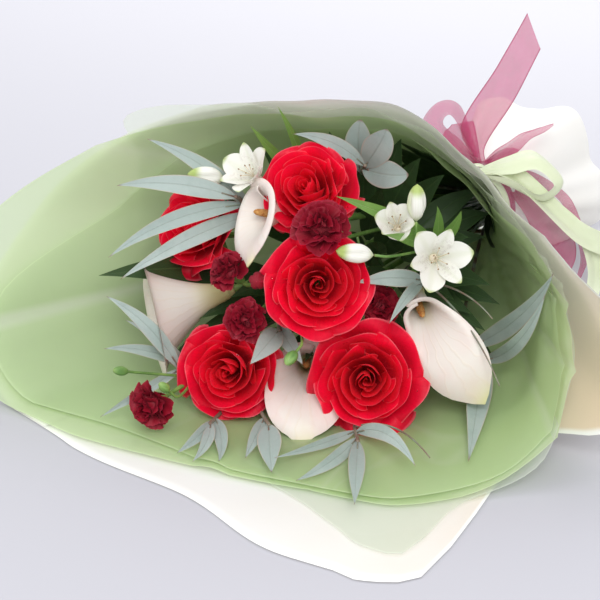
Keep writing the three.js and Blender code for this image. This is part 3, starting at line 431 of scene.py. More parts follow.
# Shader helpers and the effects that several finishes share.
class Nodes:
    """Adds nodes to a node tree and wires them."""

    def __init__(self, tree: Tree) -> None:
        """Keeps the tree."""
        self.tree = tree

    def add(self, kind: str, **settings: object) -> Node:
        """Adds a node with its settings."""
        node = self.tree.nodes.new(kind)
        for name, value in settings.items():
            setattr(node, name, value)
        return node

    def feed(self, socket: Socket, value: Feed) -> None:
        """Wires a socket to another one, or sets its number or colour."""
        if isinstance(value, Socket):
            self.tree.links.new(value, socket)
        elif socket.type == "RGBA":
            socket.default_value = (*value, 1.0)
        else:
            socket.default_value = value

    def math(self, operation: str, *values: Feed) -> Socket:
        """Adds a sum, product or other operation on numbers."""
        node = self.add("ShaderNodeMath", operation=operation)
        for socket, value in zip(node.inputs, values):
            self.feed(socket, value)
        return node.outputs[0]

    def span(self, value: Feed, low: Feed, high: Feed, start: Feed = 0.0, end: Feed = 1.0) -> Socket:
        """Adds a soft step of a value, from start at low to end at high."""
        node = self.add("ShaderNodeMapRange", interpolation_type="SMOOTHSTEP")
        for socket, number in zip(node.inputs, (value, low, high, start, end)):
            self.feed(socket, number)
        return node.outputs[0]

    def times(self, first: Feed, second: Feed) -> Socket:
        """Adds a product."""
        return self.math("MULTIPLY", first, second)

    def most(self, first: Feed, second: Feed) -> Socket:
        """Adds the larger of two numbers."""
        return self.math("MAXIMUM", first, second)

    def between(self, share: Feed, start: float, end: float) -> Socket:
        """Adds a number between two others, by a share."""
        return self.span(share, 0.0, 1.0, start, end)

    def mix(self, share: Feed, first: Feed, second: Feed) -> Socket:
        """Adds a mix of two colours."""
        node = self.add("ShaderNodeMix", data_type="RGBA")
        self.feed(node.inputs[0], share)
        self.feed(node.inputs[6], first)
        self.feed(node.inputs[7], second)
        return node.outputs[2]

    def object_place(self) -> Socket:
        """Adds the place on the object, in metres."""
        return self.add("ShaderNodeTexCoord").outputs["Object"]

    def noise(self, scale: Feed, detail: float, shift: Feed = 0.0, stretch: Spot = (1.0, 1.0, 1.0)) -> Socket:
        """Adds a cloudy noise over the object.

        Args:
            scale: How many clouds there are in a metre.
            detail: How many finer octaves it has.
            shift: Where in the noise it is, so that pieces differ.
            stretch: How much finer it is along each axis.

        Returns:
            The socket with its value.
        """
        mapping = self.add("ShaderNodeMapping")
        self.feed(mapping.inputs["Vector"], self.object_place())
        mapping.inputs["Scale"].default_value = stretch
        node = self.add("ShaderNodeTexNoise", noise_dimensions="4D")
        self.feed(node.inputs["Vector"], mapping.outputs[0])
        self.feed(node.inputs["W"], shift)
        self.feed(node.inputs["Scale"], scale)
        self.feed(node.inputs["Detail"], detail)
        return node.outputs[0]

    def effect(self, tree: Tree, **values: Feed) -> dict[str, Socket]:
        """Places a shared effect.

        Args:
            tree: The effect's node group.
            values: What its inputs are fed, by name.

        Returns:
            Its outputs by name.
        """
        node = self.add("ShaderNodeGroup", node_tree=tree)
        for name, value in values.items():
            self.feed(node.inputs[name.replace("_", " ").capitalize()], value)
        return {socket.name: socket for socket in node.outputs}

    def bump(self, height: Socket, distance: float, strength: float = 1.0) -> Socket:
        """Adds a bump from a height, and returns its normal."""
        node = self.add("ShaderNodeBump")
        node.inputs["Strength"].default_value = strength
        node.inputs["Distance"].default_value = distance
        self.feed(node.inputs["Height"], height)
        return node.outputs[0]


class Effect:
    """A node group with named inputs and outputs."""

    def __init__(self, name: str, inputs: dict[str, float], outputs: Sequence[str]) -> None:
        """Makes the group's sockets.

        Args:
            name: The effect's name.
            inputs: Its inputs and what they are unless they are fed.
            outputs: Its outputs.
        """
        self.tree = bpy.data.node_groups.new(name, "ShaderNodeTree")
        for socket, start in inputs.items():
            made = self.tree.interface.new_socket(socket, in_out="INPUT", socket_type="NodeSocketFloat")
            made.default_value = start
        for socket in outputs:
            self.tree.interface.new_socket(socket, in_out="OUTPUT", socket_type="NodeSocketFloat")
        self.nodes = Nodes(self.tree)
        self.given = self.nodes.add("NodeGroupInput").outputs
        self.result = self.nodes.add("NodeGroupOutput").inputs

    def give(self, name: str, value: Socket) -> None:
        """Wires one of the outputs."""
        self.nodes.feed(self.result[name], value)


def surface_effect() -> Tree:
    """Makes the effect that reads a surface's own coordinates and its shade attribute.

    Returns:
        A group that puts out Across and Along, 0 to 1, Side, 0 in the middle to 1 at the edges, and the
        surface's Tint, Layer and Mark.
    """
    effect = Effect("surface place", {}, ("Across", "Along", "Side", "Tint", "Layer", "Mark"))
    nodes = effect.nodes
    split = nodes.add("ShaderNodeSeparateXYZ")
    nodes.feed(split.inputs[0], nodes.add("ShaderNodeUVMap", uv_map=GRID).outputs[0])
    effect.give("Across", split.outputs[0])
    effect.give("Along", split.outputs[1])
    doubled = nodes.math("MULTIPLY_ADD", split.outputs[0], 2.0, -1.0)
    effect.give("Side", nodes.math("ABSOLUTE", doubled))
    shade = nodes.add("ShaderNodeSeparateColor")
    nodes.feed(shade.inputs[0], nodes.add("ShaderNodeAttribute", attribute_name=SHADE).outputs["Color"])
    for name, socket in zip(("Tint", "Layer", "Mark"), shade.outputs):
        effect.give(name, socket)
    return effect.tree


def mottle_effect() -> Tree:
    """Makes soft clouds.

    Returns:
        A group that puts out Cloud, 0 to 1, from a Scale in clouds a metre, a Contrast and a Shift.
    """
    effect = Effect("mottle", {"Scale": 60.0, "Contrast": 0.5, "Shift": 0.0}, ("Cloud",))
    nodes = effect.nodes
    noise = nodes.noise(effect.given["Scale"], 4.0, effect.given["Shift"])
    half = nodes.math("MULTIPLY_ADD", effect.given["Contrast"], -0.25, 0.35)
    cloud = nodes.span(noise, nodes.math("SUBTRACT", 0.5, half), nodes.math("ADD", 0.5, half))
    effect.give("Cloud", cloud)
    return effect.tree


def vein_effect(surface: Tree) -> Tree:
    """Makes the veins of petals and leaves.

    Args:
        surface: The surface place effect.

    Returns:
        A group that puts out Veins, 1 on a vein: Fan is how many run up the surface, Count how many leave its
        rib, Slant how far they lean towards the tip, and Wander how uneven they are.
    """
    effect = Effect("veins", {"Fan": 8.0, "Count": 0.0, "Slant": 0.0, "Wander": 0.6}, ("Veins",))
    nodes = effect.nodes
    place = nodes.effect(surface)
    given = effect.given
    fanned = nodes.times(place["Across"], given["Fan"])
    ribbed = nodes.math("MULTIPLY_ADD", place["Along"], given["Count"], fanned)
    leaned = nodes.math("SUBTRACT", ribbed, nodes.times(place["Side"], given["Slant"]))
    wander = nodes.times(nodes.noise(90.0, 2.0, place["Tint"]), given["Wander"])
    phase = nodes.times(nodes.math("ADD", leaned, wander), math.pi)
    wave = nodes.math("ABSOLUTE", nodes.math("SINE", phase))
    effect.give("Veins", nodes.span(wave, 0.0, 0.45, 1.0, 0.0))
    return effect.tree


def crinkle_effect() -> Tree:
    """Makes the creases of film, paper and thin cloth.

    Returns:
        A group that puts out Height, and Crease, 1 along the sharpest folds, from a Scale in folds a metre, a
        Fine share and a Shift.
    """
    effect = Effect("crinkle", {"Scale": 12.0, "Fine": 0.3, "Shift": 0.0}, ("Height", "Crease"))
    nodes = effect.nodes
    given = effect.given
    broad = nodes.noise(given["Scale"], 1.5, given["Shift"])
    finer = nodes.noise(nodes.times(given["Scale"], 4.0), 2.0, given["Shift"])
    doubled = (nodes.math("MULTIPLY_ADD", noise, 2.0, -1.0) for noise in (broad, finer))
    fold, small = (nodes.math("ABSOLUTE", value) for value in doubled)
    effect.give("Height", nodes.math("MULTIPLY_ADD", small, given["Fine"], fold))
    effect.give("Crease", nodes.span(fold, 0.0, 0.07, 1.0, 0.0))
    return effect.tree


def weave_effect(surface: Tree) -> Tree:
    """Makes a plain weave on a surface's own coordinates.

    Args:
        surface: The surface place effect.

    Returns:
        A group that puts out Height and Gap, 1 between the threads, from the number of threads Wide and Long.
    """
    effect = Effect("weave", {"Wide": 60.0, "Long": 300.0}, ("Height", "Gap"))
    nodes = effect.nodes
    place = nodes.effect(surface)
    waves = []
    for along, threads in (("Across", "Wide"), ("Along", "Long")):
        turn = nodes.times(nodes.times(place[along], effect.given[threads]), 2 * math.pi)
        waves.append(nodes.math("SINE", turn))
    effect.give("Height", nodes.times(*waves))
    both = nodes.times(*(nodes.math("MULTIPLY_ADD", wave, 0.5, 0.5) for wave in waves))
    effect.give("Gap", nodes.span(both, 0.25, 0.75))
    return effect.tree


@dataclass(frozen=True)
class Effects:
    """The node groups that the finishes share."""

    surface: Tree
    mottle: Tree
    veins: Tree
    crinkle: Tree
    weave: Tree

    @classmethod
    def make(cls) -> "Effects":
        """Builds each group once."""
        surface = surface_effect()
        return cls(surface, mottle_effect(), vein_effect(surface), crinkle_effect(), weave_effect(surface))


class Look(Nodes):
    """A material in the making: its nodes, its shader and its output."""

    def __init__(self, name: str, effects: Effects) -> None:
        """Starts the material.

        Args:
            name: Its name.
            effects: The effects that the finishes share.
        """
        self.material = bpy.data.materials.new(name)
        self.material.use_nodes = True
        self.material.node_tree.nodes.clear()
        super().__init__(self.material.node_tree)
        self.effects = effects
        self.end = self.add("ShaderNodeOutputMaterial").inputs[0]
        self.shader = self.add("ShaderNodeBsdfPrincipled")
        self.feed(self.end, self.shader.outputs[0])

    def place(self) -> dict[str, Socket]:
        """Reads the place on the surface, and the surface's tint, layer and mark."""
        return self.effect(self.effects.surface)

    def cloud(self, scale: float, contrast: float, shift: Feed = 0.0) -> Socket:
        """Adds soft clouds, so many in a metre."""
        return self.effect(self.effects.mottle, Scale=scale, Contrast=contrast, Shift=shift)["Cloud"]

    def veins(self, fan: float, wander: float, count: float = 0.0, slant: float = 0.0) -> Socket:
        """Adds veins, so many that fan out and so many that leave the rib."""
        return self.effect(self.effects.veins, Fan=fan, Wander=wander, Count=count, Slant=slant)["Veins"]

    def crinkle(self, scale: float, fine: float, shift: Feed) -> dict[str, Socket]:
        """Adds creases, so many in a metre, with a share of finer ones."""
        return self.effect(self.effects.crinkle, Scale=scale, Fine=fine, Shift=shift)

    def tinge(self, colour: Feed, mask: Feed, share: float, other: Feed) -> Socket:
        """Mixes another colour in by this share, where the mask is 1."""
        return self.mix(self.times(mask, share), colour, other)

    def give(self, name: str, value: Feed) -> None:
        """Feeds an input of the shader."""
        self.feed(self.shader.inputs[name], value)

    def wear(self, colour: Socket, roughness: Feed, relief: Socket, depth: float, strength: float) -> None:
        """Gives the shader its colour, its roughness and its relief.

        Args:
            colour: The surface's colour.
            roughness: How matt it is.
            relief: The height of its relief.
            depth: How deep that is, in metres.
            strength: How strongly it shows.
        """
        self.give("Base Color", colour)
        self.give("Roughness", roughness)
        self.give("Normal", self.bump(relief, depth, strength))

    def let_light_through(self, colour: Colour, share: float) -> None:
        """Mixes the shader with one that light shines through.

        Args:
            colour: The colour of the light that comes through.
            share: How much of it comes through.
        """
        through = self.add("ShaderNodeBsdfTranslucent")
        self.feed(through.inputs["Color"], colour)
        both = self.add("ShaderNodeMixShader")
        self.feed(both.inputs[0], share)
        self.feed(both.inputs[1], self.shader.outputs[0])
        self.feed(both.inputs[2], through.outputs[0])
        self.feed(self.end, both.outputs[0])


@dataclass(frozen=True)
class VelvetPetal:
    """The soft petals of roses and carnations.

    Attributes:
        heart: Their colour at the root and in the heart.
        rim_share: How strongly the rim's colour shows, as a painted highlight along the rims.
        sheen: The velvet's strength.
        fan: How many veins fan out.
        through: How much light comes through.
    """

    name: str
    heart: Colour
    blade: Colour
    rim: Colour
    rim_share: float
    sheen: float
    roughness: float
    through: float
    sheen_tint: Colour = (1.0, 0.5, 0.5)
    fan: float = 16.0
    shine: float = 0.35

    def material(self, effects: Effects) -> Material:
        """Makes the material."""
        look = Look(self.name, effects)
        place = look.place()
        cloud = look.cloud(70.0, 0.6, place["Tint"])
        veins = look.veins(self.fan, 1.2)
        colour = look.mix(look.span(place["Along"], 0.15, 0.85), self.heart, self.blade)
        colour = look.tinge(colour, cloud, 0.3, self.heart)
        colour = look.tinge(colour, veins, 0.12, self.heart)
        # Painted highlight: the rims and the upper side edges take the lighter rim colour.
        outer = look.span(place["Along"], 0.965, 0.99)
        sides = look.times(look.span(place["Side"], 0.95, 1.0), look.span(place["Along"], 0.4, 0.9))
        colour = look.tinge(colour, look.most(outer, sides), self.rim_share, self.rim)
        relief = look.math("MULTIPLY_ADD", cloud, 0.6, look.times(veins, -0.35))
        matt = look.between(cloud, self.roughness - 0.07, self.roughness + 0.1)
        look.wear(colour, matt, relief, 0.0007, 0.5)
        look.give("Sheen Weight", self.sheen)
        look.give("Sheen Tint", self.sheen_tint)
        look.give("Specular IOR Level", self.shine)
        look.let_light_through(self.blade, self.through)
        return look.material


@dataclass(frozen=True)
class CreamSpathe:
    """The calla's waxy petal: cream, green down its tube, with a pink blush inside the lip."""

    cream: Colour = (0.80, 0.75, 0.68)
    tube: Colour = (0.70, 0.66, 0.30)
    blush: Colour = (0.78, 0.60, 0.56)
    throat: Colour = (0.78, 0.60, 0.36)
    through: float = 0.22

    def material(self, effects: Effects) -> Material:
        """Makes the material."""
        look = Look("calla spathe", effects)
        place = look.place()
        cloud = look.cloud(45.0, 0.8, place["Tint"])
        veins = look.veins(54.0, 0.9)
        colour = look.mix(look.span(place["Along"], 0.05, 0.55, 1.0, 0.0), self.cream, self.tube)
        colour = look.tinge(colour, veins, 0.14, self.throat)
        lip = look.times(look.span(place["Along"], 0.66, 0.97), cloud)
        colour = look.tinge(colour, lip, 0.5, self.blush)
        colour = look.mix(place["Mark"], colour, self.tube)
        relief = look.math("MULTIPLY_ADD", cloud, 0.4, look.times(veins, 0.5))
        look.wear(colour, look.between(cloud, 0.38, 0.52), relief, 0.0006, 0.35)
        look.let_light_through(self.cream, self.through)
        return look.material


@dataclass(frozen=True)
class StarPetal:
    """The alstroemeria's white petals, green at their tips, with brown streaks on the marked ones.

    Attributes:
        tip: The colour of the tips and of the middle rib.
        green: How far up the petal the green tip starts.
        rib: How green the middle rib is.
        through: How much light comes through.
    """

    name: str = "alstroemeria petal"
    white: Colour = (0.89, 0.88, 0.81)
    tip: Colour = (0.42, 0.52, 0.16)
    streak: Colour = (0.16, 0.03, 0.02)
    green: float = 0.9
    rib: float = 0.14
    through: float = 0.25

    def material(self, effects: Effects) -> Material:
        """Makes the material."""
        look = Look(self.name, effects)
        place = look.place()
        along = place["Along"]
        veins = look.veins(22.0, 0.4)
        cloud = look.cloud(120.0, 0.8, place["Tint"])
        rib = look.times(look.span(place["Side"], 0.05, 0.4, 1.0, 0.0), self.rib)
        tip = look.span(along, self.green, min(self.green + 0.2, 1.0))
        root = look.span(along, 0.0, 0.3, 0.6, 0.0)
        colour = look.mix(look.most(look.most(tip, root), rib), self.white, self.tip)
        colour = look.tinge(colour, veins, 0.16, self.tip)
        dashes = look.times(look.span(look.noise(420.0, 0.0), 0.52, 0.6), veins)
        marked = look.times(place["Mark"], look.span(along, 0.9, 0.6))
        colour = look.mix(look.times(dashes, marked), colour, self.streak)
        relief = look.math("MULTIPLY_ADD", cloud, 0.3, look.times(veins, -0.5))
        look.wear(colour, look.between(cloud, 0.42, 0.56), relief, 0.0005, 0.5)
        look.let_light_through(self.white, self.through)
        return look.material


@dataclass(frozen=True)
class LeafFinish:
    """Leaves, with a rib, side veins and an edge of another colour.

    Attributes:
        deep: Their darker colour, in clouds and on some leaves more than others.
        bloom: How much of the pale wax bloom lies on them.
        wax: The bloom's colour.
        through: How much light comes through.
    """

    name: str
    blade: Colour
    deep: Colour
    vein: Colour
    edge: Colour
    tip: Colour
    bloom: float = 0.4
    roughness: float = 0.5
    wax: Colour = (0.50, 0.56, 0.54)
    through: float = 0.12

    def material(self, effects: Effects) -> Material:
        """Makes the material."""
        look = Look(self.name, effects)
        place = look.place()
        side = place["Side"]
        cloud = look.cloud(55.0, 0.5, place["Tint"])
        veins = look.veins(0.0, 0.8, 26.0, 9.0)
        darker = look.most(look.times(cloud, 0.4), look.times(place["Tint"], 0.5))
        colour = look.mix(darker, self.blade, self.deep)
        colour = look.tinge(colour, veins, 0.22, self.vein)
        colour = look.mix(look.span(side, 0.0, 0.07, 0.7, 0.0), colour, self.vein)
        colour = look.tinge(colour, look.noise(260.0, 5.0, 3.0), self.bloom, self.wax)
        colour = look.mix(look.span(side, 0.86, 0.98, 0.0, 0.8), colour, self.edge)
        colour = look.mix(look.span(place["Along"], 0.94, 1.0, 0.0, 0.85), colour, self.tip)
        ribbed = look.math("ADD", look.times(veins, -0.4), look.span(side, 0.0, 0.12, -1.0, 0.0))
        relief = look.math("MULTIPLY_ADD", cloud, 0.5, ribbed)
        look.wear(colour, look.between(cloud, self.roughness, self.roughness + 0.14), relief, 0.0006, 0.6)
        look.let_light_through(self.blade, self.through)
        return look.material


@dataclass(frozen=True)
class StemFinish:
    """Green stems, cups and buds: their colour, the darker one in streaks, and the flush at their ends."""

    name: str
    green: Colour
    deep: Colour
    flush: Colour
    flush_share: float = 0.3

    def material(self, effects: Effects) -> Material:
        """Makes the material."""
        look = Look(self.name, effects)
        place = look.place()
        cloud = look.cloud(80.0, 0.7, place["Tint"])
        streaks = look.veins(7.0, 1.4)
        colour = look.mix(cloud, self.green, self.deep)
        colour = look.tinge(colour, streaks, 0.3, self.deep)
        colour = look.tinge(colour, look.span(place["Along"], 0.75, 1.0), self.flush_share, self.flush)
        relief = look.math("MULTIPLY_ADD", cloud, 0.5, look.times(streaks, -0.5))
        look.wear(colour, look.between(cloud, 0.4, 0.6), relief, 0.0005, 0.5)
        return look.material


@dataclass(frozen=True)
class SpadixFinish:
    """The calla's spadix: small round florets, so many in a metre, with painted shade between them and golden
    pollen.
    """

    gold: Colour = (0.72, 0.30, 0.06)
    deep: Colour = (0.34, 0.12, 0.02)
    pollen: Colour = (0.8, 0.5, 0.16)
    florets: float = 900.0

    def material(self, effects: Effects) -> Material:
        """Makes the material."""
        look = Look("spadix", effects)
        cells = look.add("ShaderNodeTexVoronoi")
        look.feed(cells.inputs["Vector"], look.object_place())
        look.feed(cells.inputs["Scale"], self.florets)
        floret = look.span(cells.outputs[0], 0.1, 0.6, 1.0, 0.0)
        # Painted shade: the deep colour between the florets.
        colour = look.mix(floret, self.deep, self.gold)
        colour = look.tinge(colour, look.cloud(200.0, 0.9), 0.4, self.pollen)
        look.wear(colour, 0.7, floret, 0.0008, 0.9)
        return look.material


@dataclass(frozen=True)
class FilmFinish:
    """The green film: thin, milky and matt, so that two layers look deeper than one.

    Attributes:
        pale: Its paler colour in soft clouds and along its rim, and as painted highlight along the creases
            and painted light where the surface's mark is set.
        cover: How much one layer hides of what is behind it.
        through: How much light comes through.
    """

    name: str = "film"
    green: Colour = (0.55, 0.71, 0.36)
    pale: Colour = (0.84, 0.88, 0.74)
    cover: float = 0.62
    through: float = 0.35

    def material(self, effects: Effects) -> Material:
        """Makes the material."""
        look = Look(self.name, effects)
        place = look.place()
        crinkle = look.crinkle(9.0, 0.12, place["Tint"])
        cloud = look.cloud(6.0, 0.2, place["Tint"])
        hem = look.span(place["Along"], 0.996, 1.0, 0.0, 0.5)
        # Painted highlight along the creases, and painted light where the mark is set.
        fold = look.most(look.times(crinkle["Crease"], 0.3), place["Mark"])
        paler = look.most(look.times(cloud, 0.3), look.most(fold, hem))
        colour = look.mix(paler, self.green, self.pale)
        look.wear(colour, look.between(cloud, 0.36, 0.5), crinkle["Height"], 0.004, 0.35)
        look.give("Alpha", look.math("MULTIPLY_ADD", hem, 0.3, self.cover))
        look.let_light_through(self.green, self.through)
        return look.material


@dataclass(frozen=True)
class PaperFinish:
    """The cream paper: smooth outside, with faint fibres and soft folds, and a painted highlight along its
    edge.

    Attributes:
        cream: Its colour in its clouds and folds.
        warm_shade: The warmer, darker colour painted on its inner side beside the flowers, as painted shade.
        through: How much light comes through.
    """

    white: Colour = (0.84, 0.835, 0.81)
    cream: Colour = (0.80, 0.78, 0.69)
    warm_shade: Colour = (0.76, 0.57, 0.36)
    edge: Colour = (0.94, 0.94, 0.90)
    through: float = 0.19

    def material(self, effects: Effects) -> Material:
        """Makes the material."""
        look = Look("paper", effects)
        place = look.place()
        crinkle = look.crinkle(7.0, 0.06, place["Tint"])
        fibres = look.noise(900.0, 4.0, 1.0, (1.0, 0.25, 1.0))
        colour = look.tinge(self.white, look.cloud(8.0, 0.3), 0.6, self.cream)
        colour = look.tinge(colour, fibres, 0.12, self.cream)
        # Painted warm shade on the inner side beside the flowers, where the mark is set.
        colour = look.mix(place["Mark"], colour, self.warm_shade)
        # Painted highlight: a brighter band along the paper's edge.
        colour = look.mix(look.span(place["Along"], 0.985, 0.996), colour, self.edge)
        relief = look.math("MULTIPLY_ADD", fibres, 0.02, crinkle["Height"])
        look.wear(colour, look.span(fibres, 0.3, 0.7, 0.5, 0.66), relief, 0.003, 0.3)
        look.let_light_through(self.cream, self.through)
        return look.material


class Cloth(Enum):
    """The two ribbons."""

    ORGANZA = "organza"
    SATIN = "satin"


@dataclass(frozen=True)
class RibbonFinish:
    """A ribbon's woven finish, with wired or sewn edges.

    Attributes:
        deep: Its darker colour, in soft clouds.
        cover: How much one layer hides.
        through: How much light comes through.
        edge_share: How dark the edges are.
        holes: How much the gaps between its threads let through.
    """

    cloth: Cloth
    colour: Colour
    deep: Colour
    edge: Colour
    cover: float
    through: float
    edge_share: float
    roughness: float
    holes: float = 0.0

    def material(self, effects: Effects) -> Material:
        """Makes the material."""
        look = Look(self.cloth.value, effects)
        place = look.place()
        weave = look.effect(effects.weave, Wide=64.0, Long=260.0)
        crinkle = look.crinkle(40.0, 0.3, place["Tint"])
        cloud = look.cloud(40.0, 0.5, place["Tint"])
        colour = look.tinge(self.colour, cloud, 0.5, self.deep)
        # Painted shade and light in the creases: they take the edge colour, darker on the organza and faintly
        # lighter on the satin.
        colour = look.tinge(colour, crinkle["Crease"], 0.3, self.edge)
        edge = look.span(place["Side"], 0.9, 0.97, 0.0, self.edge_share)
        colour = look.mix(edge, colour, self.edge)
        relief = look.math("MULTIPLY_ADD", weave["Height"], 0.05, crinkle["Height"])
        look.wear(colour, look.between(cloud, self.roughness, self.roughness + 0.12), relief, 0.0012, 0.5)
        look.give("Sheen Weight", 0.4)
        solid = look.math("MULTIPLY_ADD", edge, 1.0 - self.cover, self.cover)
        look.give("Alpha", look.math("SUBTRACT", solid, look.times(weave["Gap"], self.holes)))
        look.let_light_through(self.colour, self.through)
        return look.material


@dataclass(frozen=True)
class CordFinish:
    """The tie: natural twine, with painted shade between its turns."""

    fibre: Colour = (0.46, 0.32, 0.16)
    deep: Colour = (0.20, 0.12, 0.05)

    def material(self, effects: Effects) -> Material:
        """Makes the material."""
        look = Look("cord", effects)
        twist = look.veins(3.0, 0.5, 160.0)
        cloud = look.cloud(300.0, 0.8)
        # Painted shade: the twist's grooves take the deep colour.
        colour = look.mix(twist, look.tinge(self.fibre, cloud, 0.5, self.deep), self.deep)
        look.wear(colour, look.between(cloud, 0.75, 0.9), twist, 0.0005, 0.8)
        return look.material


@dataclass(frozen=True)
class WaterDrop:
    """Drops of water on the petals, tinted faintly pink as a painted reflection of the red petals."""

    reflected_pink: Colour = (1.0, 0.86, 0.86)
    clear: Colour = (1.0, 0.98, 0.98)

    def material(self, effects: Effects) -> Material:
        """Makes the material."""
        look = Look("water drop", effects)
        # The pink is a painted reflection of the petals under the drops.
        look.give("Base Color", look.mix(look.cloud(500.0, 0.4), self.reflected_pink, self.clear))
        for name, value in (("Roughness", 0.03), ("IOR", 1.33), ("Transmission Weight", 1.0)):
            look.give(name, value)
        return look.material


@dataclass(frozen=True)
class FloorFinish:
    """The pale floor, faintly uneven and paler towards the back."""

    pale: Colour = (0.465, 0.46, 0.485)
    cool: Colour = (0.45, 0.45, 0.48)
    back: Colour = (0.58, 0.575, 0.60)

    def material(self, effects: Effects) -> Material:
        """Makes the material."""
        look = Look("floor", effects)
        colour = look.mix(look.cloud(0.8, 0.1), self.pale, self.cool)
        place = look.add("ShaderNodeSeparateXYZ")
        look.feed(place.inputs[0], look.object_place())
        look.give("Base Color", look.mix(look.span(place.outputs[1], -0.2, 1.4), colour, self.back))
        look.give("Roughness", 0.9)
        look.give("Specular IOR Level", 0.1)
        return look.material


# The stems and what stands on them.
SPRAY_STEM = 1.9  # the radius of a spray's main stem
SIDE_STEM = 1.2  # the radius of its side stems
SIDE_BEND = 14.0  # how far behind its head a side stem bends
TWIG = 6.0  # a leaf narrower than this stands for a bare twig
CLEAR = 0.35  # what is left free between two pieces, and between the wrap and the table
BUD_SIDES = 30


@dataclass
class Bunch:
    """The bunch of stems, each with a place of its own in the neck.

    Attributes:
        pitch: Spacing of the stems in the neck.
        rings: Rings of stems round the middle one.
        tail: Length of the stems behind the neck.
        splay: How much wider the bunch is at the cut ends.
        reach: How far in front of the neck the fan of stems is as wide as the neck.
    """

    pitch: float = 7.4
    rings: float = 2.7
    tail: float = 125.0
    splay: float = 1.25
    reach: float = 52.0
    free: list[tuple[float, float]] = field(default_factory=list)

    def __post_init__(self) -> None:
        """Lays out the places in a honeycomb."""
        for q in range(-3, 4):
            for r in range(-3, 4):
                place = ((q + r / 2) * self.pitch, r * math.sqrt(3) / 2 * self.pitch)
                if math.hypot(*place) < self.pitch * self.rings:
                    self.free.append(place)

    def take(self, target: Array) -> tuple[float, float]:
        """Takes the free place most nearly on the line from the neck to a point."""
        away = target - np.asarray(NECK.tie)
        scale = self.reach / float(away @ NECK.axis())
        x, y = float(away[0]) * scale, float(away @ NECK.over()) * scale
        self.free.sort(key=lambda place: math.hypot(place[0] - x, place[1] - y))
        return self.free.pop(0)

    def line(self, points: Sequence[Array]) -> Array:
        """Runs a stem from its cut end, through the neck, to the points given.

        Args:
            points: Where it goes in front of the neck.

        Returns:
            The corners of its line.
        """
        x, y = self.take(points[0])
        back = []
        for along, spread in ((-self.tail, self.splay), (-NECK.half, 1.0), (NECK.half, 1.0)):
            middle = np.asarray(NECK.tie) + along * NECK.axis()
            back.append(middle + x * spread * ALONG_TABLE + y * spread * NECK.over())
        return np.array([*back, *points])

    def head_line(self, head: Place, depth: float, bend: float = 40.0) -> Array:
        """Runs a stem to a head and ends square to it.

        Args:
            head: The head's place.
            depth: How far behind the head's foot it ends.
            bend: How long its bent end is.

        Returns:
            The corners of its line.
        """
        end = head.origin - depth * head.facing
        behind = end - bend / 3 * head.facing
        return self.line([behind + bend * unit(np.asarray(NECK.tie) - behind), behind, end])


def side_stem(draft: Draft, main: Array, fork: float, head: Place, depth: float) -> None:
    """Adds a side stem.

    Args:
        draft: What it is added to.
        main: The corners of the main stem's line.
        fork: How far back it leaves the main stem.
        head: The place of its head.
        depth: How far behind the head's foot it ends.
    """
    end = head.origin - depth * head.facing
    line = np.array([back_from_end(main, fork), end - SIDE_BEND * head.facing, end])
    draft.tube(softened(line), SIDE_STEM, 8, tint=0.4)


def scaled(shares: Profile, radius: float, height: float) -> Profile:
    """Scales the outline of a turned form, which is given in shares."""
    return [(radius * out, height * up) for out, up in shares]


def chance(name: str) -> Chance:
    """The seeded chance of one piece, from its name."""
    return np.random.default_rng([SEED, *name.encode()])


@dataclass(frozen=True)
class BladeForm:
    """The form of a leaf or a narrow petal along its rib.

    Attributes:
        width: Its greatest width.
        rise: The power that moves the widest place along the rib.
        full: How full the outline is; smaller is rounder.
        trough: How far the edges lie above the rib beside the half width.
        ripple: How far the edges ripple, in millimetres.
    """

    width: float
    rise: float = 0.7
    full: float = 1.0
    trough: float = 0.18
    ripple: float = 0.5
    columns: int = 7
    rows: int = 24

    def grid(self, base: Array, middle: Array, tip: Array, show: Array, rng: Chance) -> Array:
        """Lays the blade along a curved rib.

        Args:
            base: The rib's root.
            middle: The point that it bends towards.
            tip: Its end.
            show: What its face is turned to.
            rng: The piece's chance.

        Returns:
            The blade's points.
        """
        along = in_rows(self.rows)
        rib = (1 - along) ** 2 * base + 2 * along * (1 - along) * middle + along**2 * tip
        run = unit(2 * (1 - along) * (middle - base) + 2 * along * (tip - middle))
        side = unit(np.cross(run, show))
        face = np.cross(side, run)
        half = 0.5 * self.width * (np.sin(np.pi * np.clip(along, 0.012, 0.995) ** self.rise)) ** self.full
        across = in_columns(self.columns)[..., None]
        phase, beat = rng.uniform(0, 2 * np.pi), rng.uniform(2.0, 3.5)
        steps = along[:, None]
        wave = self.ripple * np.sin(beat * np.pi * steps + phase + 1.2 * np.sign(across)) * across**2
        lift = self.trough * half[:, None] * np.abs(across) ** 1.4 + wave * np.sin(np.pi * steps)
        return rib[:, None] + half[:, None] * across * side[:, None] + lift * face[:, None]


@dataclass(frozen=True)
class LeafPlan:
    """One leaf: its tip, its width, how far back on its stem it is rooted, and how its middle is pushed."""

    tip: Spot
    width: float
    back: float
    bow: Spot
    round_tip: bool = False

    @property
    def bare(self) -> bool:
        """Whether it is a bare twig."""
        return self.width < TWIG

    def points(self, line: Array, sink: float, rng: Chance) -> Array:
        """Lays the leaf.

        Args:
            line: The corners of its stem.
            sink: How much further back it is rooted.
            rng: The piece's chance.

        Returns:
            Its points.
        """
        base, tip = back_from_end(line, self.back + sink), SHOW.seat(self.tip)
        middle = 0.5 * (base + tip) + 2 * (self.bow[0] * RIGHT + self.bow[1] * UP + self.bow[2] * OUT)
        form = BladeForm(self.width, rise=1.05, full=0.62) if self.round_tip else BladeForm(self.width)
        return form.grid(base, middle, tip, OUT, rng)


@dataclass(frozen=True)
class Head:
    """A flower, a head or a bud: its name, where its face is, which way it faces, and its radius."""

    name: str
    seat: Spot
    faces: Spot
    radius: float


